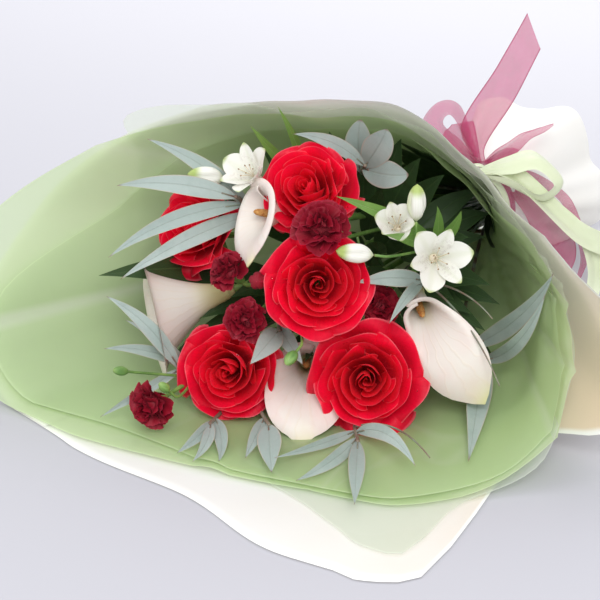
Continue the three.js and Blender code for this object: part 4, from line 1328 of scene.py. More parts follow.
@dataclass(frozen=True)
class PetalRing:
    """One ring of a rose: its petals' number, half width in degrees, rim, height, flare and first angle."""

    count: int
    half_width: float
    rim: float
    height: float
    flare: float
    start: float


ROSE_RINGS = (
    PetalRing(3, 82.0, 0.15, 0.90, 0.0, 0.0), PetalRing(3, 76.0, 0.26, 0.95, 0.15, 0.9),
    PetalRing(4, 66.0, 0.40, 0.96, 0.35, 1.7), PetalRing(5, 56.0, 0.55, 0.90, 0.6, 2.2),
    PetalRing(5, 54.0, 0.71, 0.80, 0.85, 2.9), PetalRing(6, 46.0, 0.87, 0.66, 1.1, 3.4),
)


@dataclass(frozen=True)
class Rose(Head):
    """A red rose: petals in rings round a spiral heart, on a stem with a hip and sepals.

    Attributes:
        tall: Its height beside its radius.
        dew: How many drops of water lie on it.
    """

    turn: float
    tall: float = 1.06
    stem_radius: float = 2.7
    dew: int = 26

    def place(self) -> Place:
        """Where the bloom's foot is."""
        return seated(self.seat, self.faces, 0.75 * self.tall * self.radius, self.turn)

    def petal(self, ring: PetalRing, angle: float, rng: Chance) -> Array:
        """Shapes one petal: a cup that flares at its rim and folds back beside its tip.

        Args:
            ring: Its ring.
            angle: Where it is round the bloom.
            rng: The bloom's chance.

        Returns:
            Its points beside the bloom.
        """
        side = in_columns(23)
        along = in_rows(24)
        rim = ring.rim * rng.uniform(0.93, 1.06)
        height = ring.height * rng.uniform(0.95, 1.03)
        flare = ring.flare * rng.uniform(0.6, 1.35)
        point = rng.uniform(-0.25, 0.25)
        tip = bell(side, point, 0.20)
        outline = 1.0 - (0.26 + 0.14 * rim) * np.abs(side - 0.4 * point) ** 2.3 + 0.035 * tip * (0.3 + rim)
        rise = along * outline
        width = math.radians(ring.half_width) * rng.uniform(0.92, 1.1)
        turn = angle + width * side * (0.60 + 0.62 * rise - 0.26 * rise**3)
        bulge = (rim * (1.28 - 0.34 * rim), height * (0.46 - 0.14 * rim))
        out = 0.07 * (1 - rise) ** 2 + 2 * rise * (1 - rise) * bulge[0] + rise**2 * rim
        up = 0.03 * (1 - rise) ** 2 + 2 * rise * (1 - rise) * bulge[1] + rise**2 * height
        folded = np.clip((along - 0.66) / 0.34, 0.0, 1.0)
        back = flare * (0.55 + 0.85 * np.abs(side - point) ** 1.4)
        out = out + 0.13 * back * folded**2
        up = up - 0.15 * back * folded**2.6
        phase = rng.uniform(0.0, 2.0 * np.pi)
        wave = np.sin(rng.uniform(2.5, 4.5) * side + phase)
        wave = wave + 0.5 * np.sin(rng.uniform(6.0, 9.0) * side - phase)
        out = out + 0.05 * side * along + 0.020 * (0.4 + rim) * wave * along**3
        up = up + (0.022 * wave * rim + 0.05 * rng.uniform(-1.0, 1.0) * side) * along**2
        return round_axis(out, turn, self.tall * up) * self.radius

    def heart(self, rng: Chance) -> Array:
        """Shapes the spiral in the middle, from the bloom's chance."""
        turn = in_columns(60, 0.0, 3.4 * np.pi)
        along = in_rows(10)
        wound = turn / turn.max()
        out = (0.012 + 0.105 * wound) * (0.75 + 0.5 * np.sin(np.pi * 0.78 * along)) + 0.012 * along**6
        out = out * (1.0 + 0.14 * np.cos(3.0 * turn + rng.uniform(0, 6)))
        up = 0.3 + (0.52 + 0.08 * wound + 0.03 * np.sin(1.5 * turn + rng.uniform(0, 6))) * along
        return round_axis(out, turn, self.tall * up) * self.radius

    def drops(self, draft: Draft, petals: Sequence[Array], rng: Chance) -> None:
        """Lays small water drops on the petals.

        Args:
            draft: What they are added to.
            petals: The petals, placed.
            rng: The bloom's chance.
        """
        for _ in range(self.dew):
            petal = petals[int(rng.integers(len(petals) // 3, len(petals)))]
            row, column = int(rng.integers(14, 20)), int(rng.integers(5, 18))
            normal = surface_normals(petal)[row, column]
            if normal @ OUT < 0:
                normal = -normal
            size = float(rng.uniform(0.35, 0.95))
            spot = Place.towards(petal[row, column] + 0.25 * size * normal, normal)
            form = ((0.0, -0.3), (0.8, -0.2), (1.0, 0.15), (0.0, 0.75))
            draft.turned(scaled(form, size, size), spot, 8, finish=1)

    def build(self, bunch: Bunch, finishes: "Finishes") -> None:
        """Makes the bloom and the stem.

        Args:
            bunch: The bunch that it stands in.
            finishes: All the materials.
        """
        rng, place, draft = chance(self.name), self.place(), Draft()
        draft.sheet(place.put(self.heart(rng)))
        petals = []
        for number, ring in enumerate(ROSE_RINGS):
            for n in range(ring.count):
                angle = ring.start + 2 * np.pi * n / ring.count + rng.uniform(-0.15, 0.15)
                grid = place.put(self.petal(ring, angle, rng))
                petals.append(grid)
                draft.sheet(grid, tint=float(rng.uniform(0.0, 1.0)), layer=number / (len(ROSE_RINGS) - 1))
        self.drops(draft, petals, rng)
        nodes = [f"{self.name}_bloom"]
        draft.build(f"{self.name}_bloom_petals", "rose_petal", nodes, finishes.rose, finishes.drop)
        self.build_stem(bunch, place, finishes.stem, rng)

    def build_stem(self, bunch: Bunch, place: Place, stem: Material, rng: Chance) -> None:
        """Makes the stem with its hip and sepals.

        Args:
            bunch: The bunch that it stands in.
            place: Where the bloom's foot is.
            stem: The stem's material.
            rng: The bloom's chance.
        """
        draft, radius = Draft(), self.radius
        draft.tube(softened(bunch.head_line(place, 0.2 * radius), 3), self.stem_radius, 10, tint=0.3)
        hip = scaled(((0.0, -0.26), (0.07, -0.22), (0.13, -0.12)), radius, radius)
        draft.turned([*hip, (0.1 * radius, -0.3)], place, 14, tint=0.5)
        for n in range(5):
            base = place.put(np.array([0.0, 0.0, -0.14 * radius]))
            tip = place.put(round_axis(0.55 * radius, 2 * np.pi * n / 5, -0.26 * radius))
            form = BladeForm(0.17 * radius, ripple=0.4, columns=5, rows=12)
            draft.sheet(form.grid(base, 0.5 * (base + tip), tip, place.facing, rng), tint=0.7)
        draft.build(f"{self.name}_stem_and_sepals", "stem", [f"{self.name}_stem"], stem)


# The outlines of a closed bud and of a carnation's green cup, in shares of the radius and the length.
BUD = ((0.0, -0.1), (0.6, 0.06), (0.92, 0.24), (1.0, 0.42), (0.86, 0.68), (0.5, 0.88), (0.0, 1.0))
CUP = ((0.0, -1.0), (0.7, -0.8), (1.0, -0.5))
# Each ring of a carnation: its petals, how far out their rim is, and how far up their rim and their root are.
CARNATION_LAYERS = ((6, 1.0, 0.36, 0.08), (6, 0.88, 0.56, 0.14), (5, 0.66, 0.76, 0.24), (4, 0.40, 0.92, 0.34))


@dataclass(frozen=True)
class CarnationHead(Head):
    """One head of a spray carnation, or its closed bud where it has a length.

    Attributes:
        turn: Radians that it is turned.
        length: A closed bud's length.
    """

    turn: float = 0.0
    length: float = 0.0

    def place(self) -> Place:
        """Where its foot is."""
        return seated(self.seat, self.faces, 0.5 * self.radius, self.turn)

    def petal(self, form: Point, width: float, angle: float, rng: Chance) -> Array:
        """Shapes one ruffled petal with a toothed rim.

        Args:
            form: How far out its rim is, and how far up its rim and its root are, beside the radius.
            width: Its half width in radians.
            angle: Where it is round the head.
            rng: The head's chance.

        Returns:
            Its points beside the head.
        """
        rim, height, root = form
        side, along = in_columns(19), in_rows(9)
        phase = rng.uniform(0.0, 2 * np.pi)
        folds = rng.uniform(3.0, 4.6)
        ruffle = 0.13 * along**1.3 * np.sin(folds * side + phase)
        ruffle = ruffle + 0.04 * along**3 * np.sin(9.0 * side + 2 * phase)
        tooth = 0.035 * np.abs(np.sin(11.0 * side + phase)) * along**6
        out = 0.10 + (rim - 0.10) * along**0.9 * (1.0 - 0.14 * side**2) + tooth - 0.7 * ruffle
        up = root + (height - root) * along**0.8 + ruffle + 0.05 * along * rng.uniform(-1.0, 1.0)
        turn = angle + width * side * (0.35 + 0.65 * along) + 0.5 * ruffle
        return round_axis(out, turn, up) * self.radius

    def build(self, petal: Material) -> None:
        """Makes the head or bud."""
        rng, place, draft = chance(self.name), self.place(), Draft()
        if self.length:
            raised = Place(place.origin + 0.1 * self.length * place.facing, place.basis)
            draft.turned(scaled(BUD, self.radius, self.length), raised, BUD_SIDES, (5, 0.2), tint=0.5)
        else:
            core = ((0.0, 0.0), (0.42, 0.1), (0.5, 0.3), (0.36, 0.52), (0.0, 0.62))
            draft.turned(scaled(core, self.radius, self.radius), place, 18)
            for number, (count, rim, height, root) in enumerate(CARNATION_LAYERS):
                for n in range(count):
                    angle = 2 * np.pi * n / count + 0.7 * number + rng.uniform(-0.15, 0.15)
                    width = 1.4 * np.pi / count
                    form = (rim * rng.uniform(0.92, 1.06), height, root)
                    grid = self.petal(form, width, angle, rng)
                    draft.sheet(place.put(grid), tint=float(rng.uniform()), layer=1.0 - number / 4)
            for n in range(3):
                grid = self.petal((0.2 * rng.uniform(0.8, 1.2), 0.92, 0.42), 1.3, 2.1 * n, rng)
                draft.sheet(place.put(grid), tint=float(rng.uniform()))
        draft.build(f"{self.name}_petals", "carnation_petal", [self.name], petal)


@dataclass(frozen=True)
class GreenBud:
    """A closed green bud on a side stem."""

    seat: Spot
    faces: Spot
    radius: float
    length: float


@dataclass(frozen=True)
class CarnationSpray:
    """A stem of spray carnations: its heads, the first one on the main stem, and its green buds.

    Attributes:
        fork: How far back the side stems leave the main one.
    """

    name: str
    heads: tuple[CarnationHead, ...]
    buds: tuple[GreenBud, ...]
    fork: float
    cup_radius: float = 4.2
    cup_length: float = 15.0

    def build(self, bunch: Bunch, finishes: "Finishes") -> None:
        """Makes the heads and their stem.

        Args:
            bunch: The bunch that it stands in.
            finishes: All the materials.
        """
        for head in self.heads:
            head.build(finishes.carnation)
        draft = Draft()
        main = bunch.head_line(self.heads[0].place(), 0.5 * self.cup_length)
        draft.tube(softened(main, 3), SPRAY_STEM, 8, tint=0.2)
        rim = (1.04 * self.cup_radius, -0.3)
        cup = [*scaled(CUP, self.cup_radius, self.cup_length), rim, (0.0, -0.3)]
        for number, head in enumerate(self.heads):
            draft.turned(cup, head.place(), BUD_SIDES, (5, 0.12), tint=0.5)
            if number:
                side_stem(draft, main, self.fork, head.place(), 0.5 * self.cup_length)
        for bud in self.buds:
            place = seated(bud.seat, bud.faces, 0.0)
            draft.turned(scaled(BUD, bud.radius, bud.length), place, BUD_SIDES, (5, 0.15), tint=0.8)
            side_stem(draft, main, self.fork, place, 0.0)
        draft.build(f"{self.name}_cups_and_buds", "stem", [f"{self.name}_stem"], finishes.stem)


@dataclass(frozen=True)
class Calla:
    """A calla: one petal rolled into a funnel round its spadix, on a thick stem.

    Attributes:
        seat: The middle of its mouth.
        faces: The way the tube points.
        tip: The way its long tip lies.
        tube: The tube's length.
        mouth: The mouth's radius.
        lip: How far the tip runs out past it.
        curl: How far the rim curls back beside the mouth.
        slant: How far the tip runs on forwards beside the lip.
        narrow: How quickly the lip narrows away from the tip.
        flare: How late the tube opens out.
        neck: The tube's radius at its foot.
        heel: How far its solid foot reaches up and down.
        wound: How far round each edge lies from the tip, in degrees.
        tuck: How much further out one edge is than the other.
    """

    name: str
    seat: Spot
    faces: Spot
    tip: Spot
    tube: float
    mouth: float
    lip: float
    curl: float
    slant: float = 0.45
    narrow: float = 1.6
    flare: float = 2.4
    neck: float = 7.0
    heel: float = 6.0
    wound: float = 196.0
    tuck: float = 0.13
    thickness: float = 0.9
    stem_radius: float = 3.2

    def place(self) -> Place:
        """Where the tube's foot is."""
        direction = SHOW.facing(self.faces)
        return Place.towards(SHOW.seat(self.seat) - self.tube * direction, direction, SHOW.facing(self.tip))

    def spathe(self, rng: Chance) -> Array:
        """Shapes the rolled petal, with its rim rolled back and its tip drawn out."""
        along = in_rows(44)
        share = in_columns(65)
        angle = np.radians(self.wound) * share
        front = (0.5 + 0.5 * np.cos(np.minimum(np.abs(angle), np.pi))) ** self.narrow
        flare = along**self.flare
        wave = 0.035 * np.sin(3.0 * angle + rng.uniform(0, 6.0)) * along**5
        rolled = np.maximum(along - 0.9, 0.0) / 0.1
        radius = self.neck + (self.mouth - self.neck) * flare + front * self.lip * flare * along
        radius = radius * (1.0 + self.tuck * share + wave) + 1.6 * np.sin(1.6 * rolled)
        rise = along * (self.tube + front * self.lip * self.slant) - self.curl * self.mouth * along**8
        rise = rise - 2.4 * rolled**2 + 3.0 * bell(share, 0.0, 0.03) * rolled**2
        radius = radius + 7.0 * bell(share, 0.0, 0.035) * rolled
        return round_axis(radius, angle, rise)

    def build(self, bunch: Bunch, finishes: "Finishes") -> None:
        """Makes the spathe, the spadix and the stem.

        Args:
            bunch: The bunch that it stands in.
            finishes: All the materials.
        """
        place, grid, rolled = self.place(), self.spathe(chance(self.name)), Draft()
        share = in_columns(2 * grid.shape[1])
        tipped = bell(np.abs(share), 0.5, 0.02) * in_rows(len(grid)) ** 26
        rolled.shell(place.put(grid), self.thickness, tint=0.3, mark=tipped)
        foot = ((0.0, -1.0), (0.7, -1.0), (1.0, 0.0), (1.15, 1.0), (0.0, 1.0))
        rolled.turned(scaled(foot, self.neck, self.heel), place, 20, tint=0.3, mark=1.0)
        rolled.build(f"{self.name}_petal", "calla_spathe", [f"{self.name}_spathe"], finishes.calla)
        inside, stalk, start = Draft(), Draft(), self.heel + 0.4
        ends = ((3.5, 0.5), (2.9, 0.78), (1.6, 0.87), (0.0, 0.9))
        inside.turned([(0.0, start), (2.8, start + 0.5), *scaled(ends, 1.0, self.tube)], place, 16)
        inside.build(f"{self.name}_florets", "spadix", [f"{self.name}_spadix"], finishes.spadix)
        line = softened(bunch.head_line(place, self.heel + CLEAR, 50.0), 3)
        stalk.tube(line, self.stem_radius, 12, tint=0.1)
        stalk.build(f"{self.name}_stalk", "stem", [f"{self.name}_stem"], finishes.stem)


@dataclass(frozen=True)
class StarHead(Head):
    """An alstroemeria flower, or its closed bud where it has a length.

    Attributes:
        opened: How far it is open.
        turn: Radians that it is turned.
        length: A closed bud's length.
    """

    opened: float = 1.0
    turn: float = 0.0
    length: float = 0.0

    def place(self) -> Place:
        """Where its foot is."""
        return seated(self.seat, self.faces, self.length / 2 or 0.75 * self.radius, self.turn)

    def root_depth(self) -> float:
        """How far behind the foot its stem ends."""
        return (0.1 * self.length or 0.12 * self.radius) + CLEAR

    def petals(self, draft: Draft, place: Place, rng: Chance) -> None:
        """Adds the six petals, three wide ones and three narrow ones with streaks.

        Args:
            draft: What they are added to.
            place: Where the foot is.
            rng: The flower's chance.
        """
        for n in range(6):
            angle = math.pi * n / 3
            inner = n % 2
            around = np.array([math.cos(angle), math.sin(angle), 0.0])
            reach = self.radius * self.opened * (0.9 if inner else 1.0)
            rise = self.radius * (1.05 if inner else 0.95)
            base = place.put(1.5 * around + np.array([0, 0, 1.0]))
            tip = place.put(reach * around + np.array([0, 0, rise]))
            inward = -(place.basis @ around)
            middle = 0.5 * (base + tip) + 0.16 * self.radius * inward
            if not inner:
                middle = middle + 0.1 * self.radius * place.facing
            width = self.radius * (0.50 if inner else 0.76)
            form = BladeForm(width, rise=1.6, full=0.6, trough=0.3, ripple=1.0, columns=11, rows=22)
            grid = form.grid(base, middle, tip, inward, rng)
            draft.sheet(grid, tint=float(rng.uniform()), mark=float(inner))

    def stamens(self, draft: Draft, place: Place, rng: Chance) -> None:
        """Adds the curved stamens with their brown ends.

        Args:
            draft: What they are added to.
            place: Where the foot is.
            rng: The flower's chance.
        """
        for n in range(6):
            angle = math.pi * n / 3 + 0.3
            lean = rng.uniform(0.12, 0.3)
            local = np.array([[0.0, 0.3], [0.4 * lean, 0.55], [lean, rng.uniform(0.72, 0.86)]])
            line = curve_through(place.put(round_axis(local[:, 0], angle, local[:, 1]) * self.radius), 4)
            draft.tube(line, 0.35, 5, finish=1)
            end = Place.towards(line[-1], line[-1] - line[-2])
            draft.turned([(0.0, -0.4), (0.7, 0.4), (0.0, 1.6)], end, 6, finish=2)

    def build(self, spray: str, finishes: "Finishes") -> None:
        """Makes the flower or bud.

        Args:
            spray: The start of its node's name.
            finishes: All the materials.
        """
        name = f"{spray}_{self.name}"
        rng, place, draft = chance(name), self.place(), Draft()
        if self.length:
            draft.turned(scaled(BUD, self.radius, self.length), place, BUD_SIDES, (3, 0.28), tint=0.5)
            draft.build(f"{name}_closed", "alstroemeria_petal", [name], finishes.star_bud)
            return
        self.petals(draft, place, rng)
        foot = ((0.0, -0.12), (3.0, -0.1), (4.4, 0.1), (2.0, 0.3), (0.0, 0.34))
        draft.turned(scaled(foot, 1.0, self.radius), place, 12, finish=1)
        self.stamens(draft, place, rng)
        materials = (finishes.star_petal, finishes.filament, finishes.anther)
        draft.build(f"{name}_petals", "alstroemeria_petal", [name], *materials)


@dataclass(frozen=True)
class StarSpray:
    """A stem of alstroemeria with its leaves and its heads, the first one on the main stem.

    Attributes:
        fork: How far back the side stems leave the main one.
    """

    name: str
    heads: tuple[StarHead, ...]
    leaves: tuple[LeafPlan, ...]
    fork: float = 70.0

    def build(self, bunch: Bunch, finishes: "Finishes") -> None:
        """Makes the flowers and their stem.

        Args:
            bunch: The bunch that it stands in.
            finishes: All the materials.
        """
        for head in self.heads:
            head.build(self.name, finishes)
        rng, draft = chance(self.name), Draft()
        first = self.heads[0]
        main = bunch.head_line(first.place(), first.root_depth())
        draft.tube(softened(main, 3), SPRAY_STEM, 8, tint=0.2)
        for head in self.heads[1:]:
            side_stem(draft, main, self.fork, head.place(), head.root_depth())
        for leaf in self.leaves:
            draft.sheet(leaf.points(main, 0.0, rng), tint=float(rng.uniform(0.0, 0.6)), finish=1)
        nodes, materials = [f"{self.name}_stem"], (finishes.stem, finishes.green_leaf)
        draft.build(f"{self.name}_stem_and_leaves", "leaf", nodes, *materials)


@dataclass(frozen=True)
class Eucalyptus:
    """A spray of eucalyptus: a thin stem with its leaves.

    Attributes:
        stem: The points that its stem runs through.
        sink: How far behind its place on the stem a leaf is rooted.
    """

    name: str
    stem: tuple[Spot, ...]
    leaves: tuple[LeafPlan, ...]
    stem_radius: float = 1.7
    sink: float = 3.0

    def build(self, bunch: Bunch, finishes: "Finishes") -> None:
        """Makes the spray.

        Args:
            bunch: The bunch that it stands in.
            finishes: All the materials.
        """
        rng, draft = chance(self.name), Draft()
        line = bunch.line([SHOW.seat(point) for point in self.stem])
        draft.tube(softened(line, 3), self.stem_radius, 8, tint=0.5, finish=1)
        for plan in self.leaves:
            grid = plan.points(line, self.sink, rng)
            rib = grid[:, grid.shape[1] // 2]
            if plan.bare:
                draft.tube(rib, np.linspace(1.2, 0.5, len(grid)), 6, tint=0.8, finish=1)
                continue
            draft.sheet(grid, tint=float(rng.uniform()))
            stalk = np.array([back_from_end(line, plan.back + self.sink), rib[1], rib[3]])
            draft.tube(curve_through(stalk, 4), 0.75, 6, finish=1)
        materials = (finishes.eucalyptus, finishes.grey_stem)
        draft.build(f"{self.name}_leaves", "eucalyptus", [self.name], *materials)


# The wrap.
def round_table(rows: Sequence[Sequence[float]], column: int, angle: Number) -> Array:
    """Reads a value from a table that goes round the axis, smoothly and with no overshoot.

    Args:
        rows: The table, with the angle in degrees first in each row.
        column: Which value is read.
        angle: Where, in degrees.

    Returns:
        The values there.
    """
    table = np.array([list(row) for row in rows], dtype=float)
    knots, values = table[:, 0], table[:, column]
    knots = np.concatenate([knots[-2:] - 360.0, knots, knots[:2] + 360.0])
    values = np.concatenate([values[-2:], values, values[:2]])
    steps, slopes = np.diff(knots), np.diff(values) / np.diff(knots)
    same = slopes[:-1] * slopes[1:] > 0
    mean = 2 * slopes[:-1] * slopes[1:] / np.where(same, slopes[:-1] + slopes[1:], 1.0)
    tangents = np.concatenate([[0.0], np.where(same, mean, 0.0), [0.0]])
    at = np.mod(np.asarray(angle, dtype=float) - table[0, 0], 360.0) + table[0, 0]
    k = np.clip(np.searchsorted(knots, at, side="right") - 1, 0, len(steps) - 1)
    t = (at - knots[k]) / steps[k]
    start = (1 + 2 * t) * (1 - t) ** 2 * values[k] + t * (1 - t) ** 2 * steps[k] * tangents[k]
    end = t**2 * (3 - 2 * t) * values[k + 1] + t**2 * (t - 1) * steps[k] * tangents[k + 1]
    return start + end


# The wrap's form: at each angle, the rim's radius, its reach in front of the neck, and the sheet's swell.
WRAP_FORM = (
    (-138, 207, 485, 0.6), (-98, 139, 484, 0.5), (-69, 146, 477, 0.5), (-48, 182, 470, 0.7),
    (-23, 242, 375, 1.1), (-2, 220, 334, 1.3), (12, 188, 303, 1.3), (33, 153, 296, 1.1),
    (61, 138, 278, 1.0), (88, 139, 291, 1.0), (110, 146, 316, 1.0), (142, 190, 308, 1.0),
    (173, 292, 413, 1.0), (189, 336, 520, 1.0), (208, 277, 468, 0.8),
)


def wrap_radius(angle: Number, along: Number) -> Array:
    """Works out how far off its axis the wrap is.

    Args:
        angle: Degrees round the axis.
        along: The distance in front of the neck.

    Returns:
        The radii, in millimetres.
    """
    rim, whole, swell = (round_table(WRAP_FORM, column, angle) for column in (1, 2, 3))
    share = np.maximum(along - NECK.half, 0.0) / (whole - NECK.half)
    return NECK.radius + (rim - NECK.radius) * share**swell


class Foil(Enum):
    """What a sheet of the wrap is made of."""

    PAPER = "paper"
    FILM = "film"
    VEIL = "veil"


@dataclass(frozen=True)
class Crease:
    """A fold that runs out from the neck: its angle, its height at the rim, and its width in degrees."""

    angle: float
    height: float
    width: float


@dataclass(frozen=True)
class WrapSheet:
    """A sheet rolled round the flowers and gathered at the neck.

    Attributes:
        start: The angle that it is rolled from.
        end: And the one it is rolled to.
        rim: At each angle, how far the rim reaches in front of the neck, and how far it stands off.
        outer: How many layers deep its first edge lies.
        inner: How many layers deep its last edge lies.
        tail: How far it reaches behind the neck.
        ripple: How far its free rim ripples.
        raised: How far its underside is raised off the table, away from the flat spot.
        flat_spot: How far the flat spot reaches, and where the underside is raised in full.
        rest: The height over which the sheet flattens towards the table.
        layer_step: From one layer to the next.
        tail_radius: The radius at the tail's end.
        tail_reach: How far behind the neck that end is.
        pleats: How many pleats the tail has.
        pinch: Where the film's rim is pinched, across and up.
        pinch_depth: How deep its pleats are.
        pale: Where the film is painted paler, as painted light on that side of the wrap: the angle and the
            width.
        warm_shade: Where the paper's inner side gets that painted warm shade: the angle and the width.
    """

    name: str
    foil: Foil
    start: float
    end: float
    rim: tuple[Spot, ...]
    outer: float
    inner: float
    tail: float = 16.0
    ripple: float = 1.5
    raised: float = 0.0
    flat_spot: tuple[float, float] = (85.0, 130.0)
    rest: float = 4.0
    layer_step: float = 1.3
    tail_radius: float = 92.0
    tail_reach: float = 135.0
    pleats: float = 6.0
    pleat_depth: float = 9.0
    creases: tuple[Crease, ...] = ()
    pinch: tuple[float, float] = (202.0, 12.5)
    pinch_depth: float = 5.0
    pale: tuple[float, float] = (180.0, 56.0)
    warm_shade: tuple[float, float] = (-10.0, 24.0)

    def angles(self) -> Array:
        """The angles of the sheet's columns, two degrees apart."""
        return np.linspace(self.start, self.end, int((self.end - self.start) / 2.0) + 1)[None, :]

    def grid(self) -> Array:
        """Lays out the sheet's points, tail first."""
        angle = self.angles()
        reach = round_table(self.rim, 1, angle)
        lift = round_table(self.rim, 2, angle)
        front = in_rows(52) ** 1.15
        back = -in_rows(18, 1.0, 0.0) * self.tail
        along = np.concatenate([back + 0.0 * reach, (front * reach)[1:]])
        tucked = np.maximum((angle - self.start) / (self.end - self.start) - 0.6, 0.0) / 0.4
        depth = self.layer_step * (self.outer + (self.inner - self.outer) * tucked)
        whole = round_table(WRAP_FORM, 2, angle)
        share = np.maximum(along - NECK.half, 0.0) / (whole - NECK.half)
        opened = wrap_radius(angle, along) - NECK.radius + lift * share**4
        behind = np.maximum(-along - NECK.half, 0.0) / (self.tail_reach - NECK.half)
        pleat = self.pleat_depth * behind * np.cos(np.radians(angle * self.pleats))
        radius = NECK.radius + opened + (self.tail_radius - NECK.radius) * behind**0.8 + pleat - depth
        radius = radius + self.folds(angle, share, behind) + self.edge_ripple(angle, along / reach)
        if self.foil is not Foil.PAPER:
            radius = radius - self.pleat_fan(NECK.around(angle, radius, along))
        points = NECK.around(angle, radius, along)
        floor = depth + CLEAR + self.raised * ease(np.hypot(points[..., 0], points[..., 1]), *self.flat_spot)
        above = (points[..., 2] - floor) / self.rest
        lifted = self.rest * np.logaddexp(0.0, above) - self.rest * math.log(2.0) * np.exp(-np.abs(above))
        points[..., 2] = floor + lifted
        return points

    def folds(self, angle: Array, share: Array, behind: Array) -> Array:
        """How far the gathers at the neck and the long creases push the sheet out."""
        turn = np.radians(angle)
        gathers = np.cos(17.0 * turn + 1.3 * np.sin(3.0 * turn)) * bell(share, 0.12, 0.16) * 1.6
        soft = 1.6 * np.sin(5.0 * turn + 0.8) + 1.1 * np.sin(9.0 * turn + 2.1)
        total = gathers + soft * share * (1.0 - 0.3 * share)
        total = total + 0.8 * np.cos(23.0 * turn) * behind * (1.0 - behind)
        for crease in self.creases:
            off = np.mod(angle - crease.angle + 180.0, 360.0) - 180.0
            ridge = np.exp(-np.abs(off) / crease.width) - 0.35 * bell(off, 0.0, 2.6 * crease.width)
            total = total + crease.height * ridge * share**1.5
        return total

    def pleat_fan(self, points: Array) -> Array:
        """How far the pleats that fan out from the pinch in the rim draw the film in."""
        across, up = SHOW.look(points)
        across, up = across - self.pinch[0], up - self.pinch[1]
        fold = 0.5 + 0.5 * np.cos(22.0 * np.arctan2(up, across))
        return self.pinch_depth * fold * np.exp(-np.hypot(across, up) / 100.0)

    def edge_ripple(self, angle: Array, share: Array) -> Array:
        """How far the free rim waves."""
        turn = np.radians(angle)
        wave = np.sin(11.0 * turn + self.outer) + 0.6 * np.sin(19.0 * turn + 2.0 * self.outer)
        return self.ripple * wave * ease(share, 0.82, 1.0)

    def build(self, finish: Material) -> None:
        """Makes the sheet."""
        draft, share = Draft(), in_rows(69) ** 2
        if self.foil is Foil.PAPER:
            # The paper's mark: painted warm shade on its inner side beside the flowers.
            mark = bell(self.angles(), *self.warm_shade) * share
        else:
            angle = self.angles()
            # The film's mark: painted highlight along the creases, and painted light round the angle given in
            # pale.
            streaks = (0.1 * fold.height * bell(angle, fold.angle, 0.4 * fold.width) for fold in self.creases)
            mark = sum(streaks) * share + 0.45 * bell(np.mod(angle, 360.0), *self.pale)
        draft.sheet(self.grid(), tint=(self.outer * 0.13) % 1.0, mark=mark)
        slot = "paper" if self.foil is Foil.PAPER else "film"
        draft.build(f"{self.name}_sheet", slot, [self.name], finish)


@dataclass(frozen=True)
class ShadeFoliage:
    """Broad leaves low in the bunch, coloured near black as painted shade for the deep shade behind the
    flowers.

    Attributes:
        lining: How many lie along the inside of the wrap.
        first: The angle at which the first of these lies.
        spread: The angle over which they lie.
        shortest: The length of the shortest of them.
        longer: How much longer they are at the top of the bunch.
        tips: Where the tips of those between the heads are.
    """

    lining: int = 32
    first: float = -8.0
    spread: float = 212.0
    shortest: float = 96.0
    longer: float = 152.0
    tips: tuple[Spot, ...] = (
        (-66, -6, -30), (62, -6, -30), (-34, -104, -24), (48, 128, -44), (86, 56, -30), (-92, -24, -50),
        (104, -84, -50), (-24, 52, -34), (-4, -60, -44), (84, -64, -50), (-116, -56, -56), (132, 44, -40),
        (112, 96, -50), (76, 126, -60), (16, 132, -40), (-40, 118, -50), (150, 4, -50), (64, 30, -24),
        (-176, 12, -20), (-76, 78, -50), (120, -8, -44), (-128, 8, -76), (92, 110, -36), (60, 84, -30),
        (30, 44, -20), (146, -34, -92), (134, -20, -98), (158, -12, -104), (126, -52, -92), (152, -54, -84),
        (140, 12, -100), (150, 64, -168), (143, 84, -160), (146, 44, -160),
    )
    width: float = 27.0

    def build(self, finish: Material) -> None:
        """Makes the leaves."""
        rng, draft = chance("foliage"), Draft()
        # The lining leaves are painted shade along the inside of the wrap and across the open neck.
        for n in range(self.lining):
            angle = self.first + self.spread * n / self.lining + rng.uniform(-4.0, 4.0)
            along = self.shortest + self.longer * float(bell(angle, 76.0, 36.0)) + rng.uniform(-18.0, 14.0)
            base = NECK.around(angle, 0.5 * NECK.radius, NECK.half)
            middle = NECK.around(angle, 0.95 * wrap_radius(angle, 0.5 * along), 0.5 * along)
            tip = NECK.around(angle + rng.uniform(-9.0, 9.0), 0.88 * wrap_radius(angle, along), along)
            inside = NECK.axis() - 0.6 * (NECK.around(angle, 1.0, 0.0) - np.asarray(NECK.tie))
            form = BladeForm(self.width * rng.uniform(1.0, 1.4), full=0.7)
            draft.sheet(form.grid(base, middle, tip, inside, rng), tint=float(rng.uniform()))
        # Those between the heads are painted shade in the gaps between the flowers.
        for tip in self.tips:
            base = SHOW.seat((0.4 * tip[0] + 24.0, 0.4 * tip[1] + 8.0, -150.0))
            end = SHOW.seat(tip)
            middle = 0.5 * (base + end) + 12.0 * UP
            form = BladeForm(self.width * rng.uniform(0.8, 1.1))
            draft.sheet(form.grid(base, middle, end, OUT, rng), tint=float(rng.uniform()))
        draft.build("shade_foliage", "leaf", [], finish)


# The ribbons.
Strip = tuple[tuple[Spot, Spot], ...]  # a loop or tail, by its two edges at each step


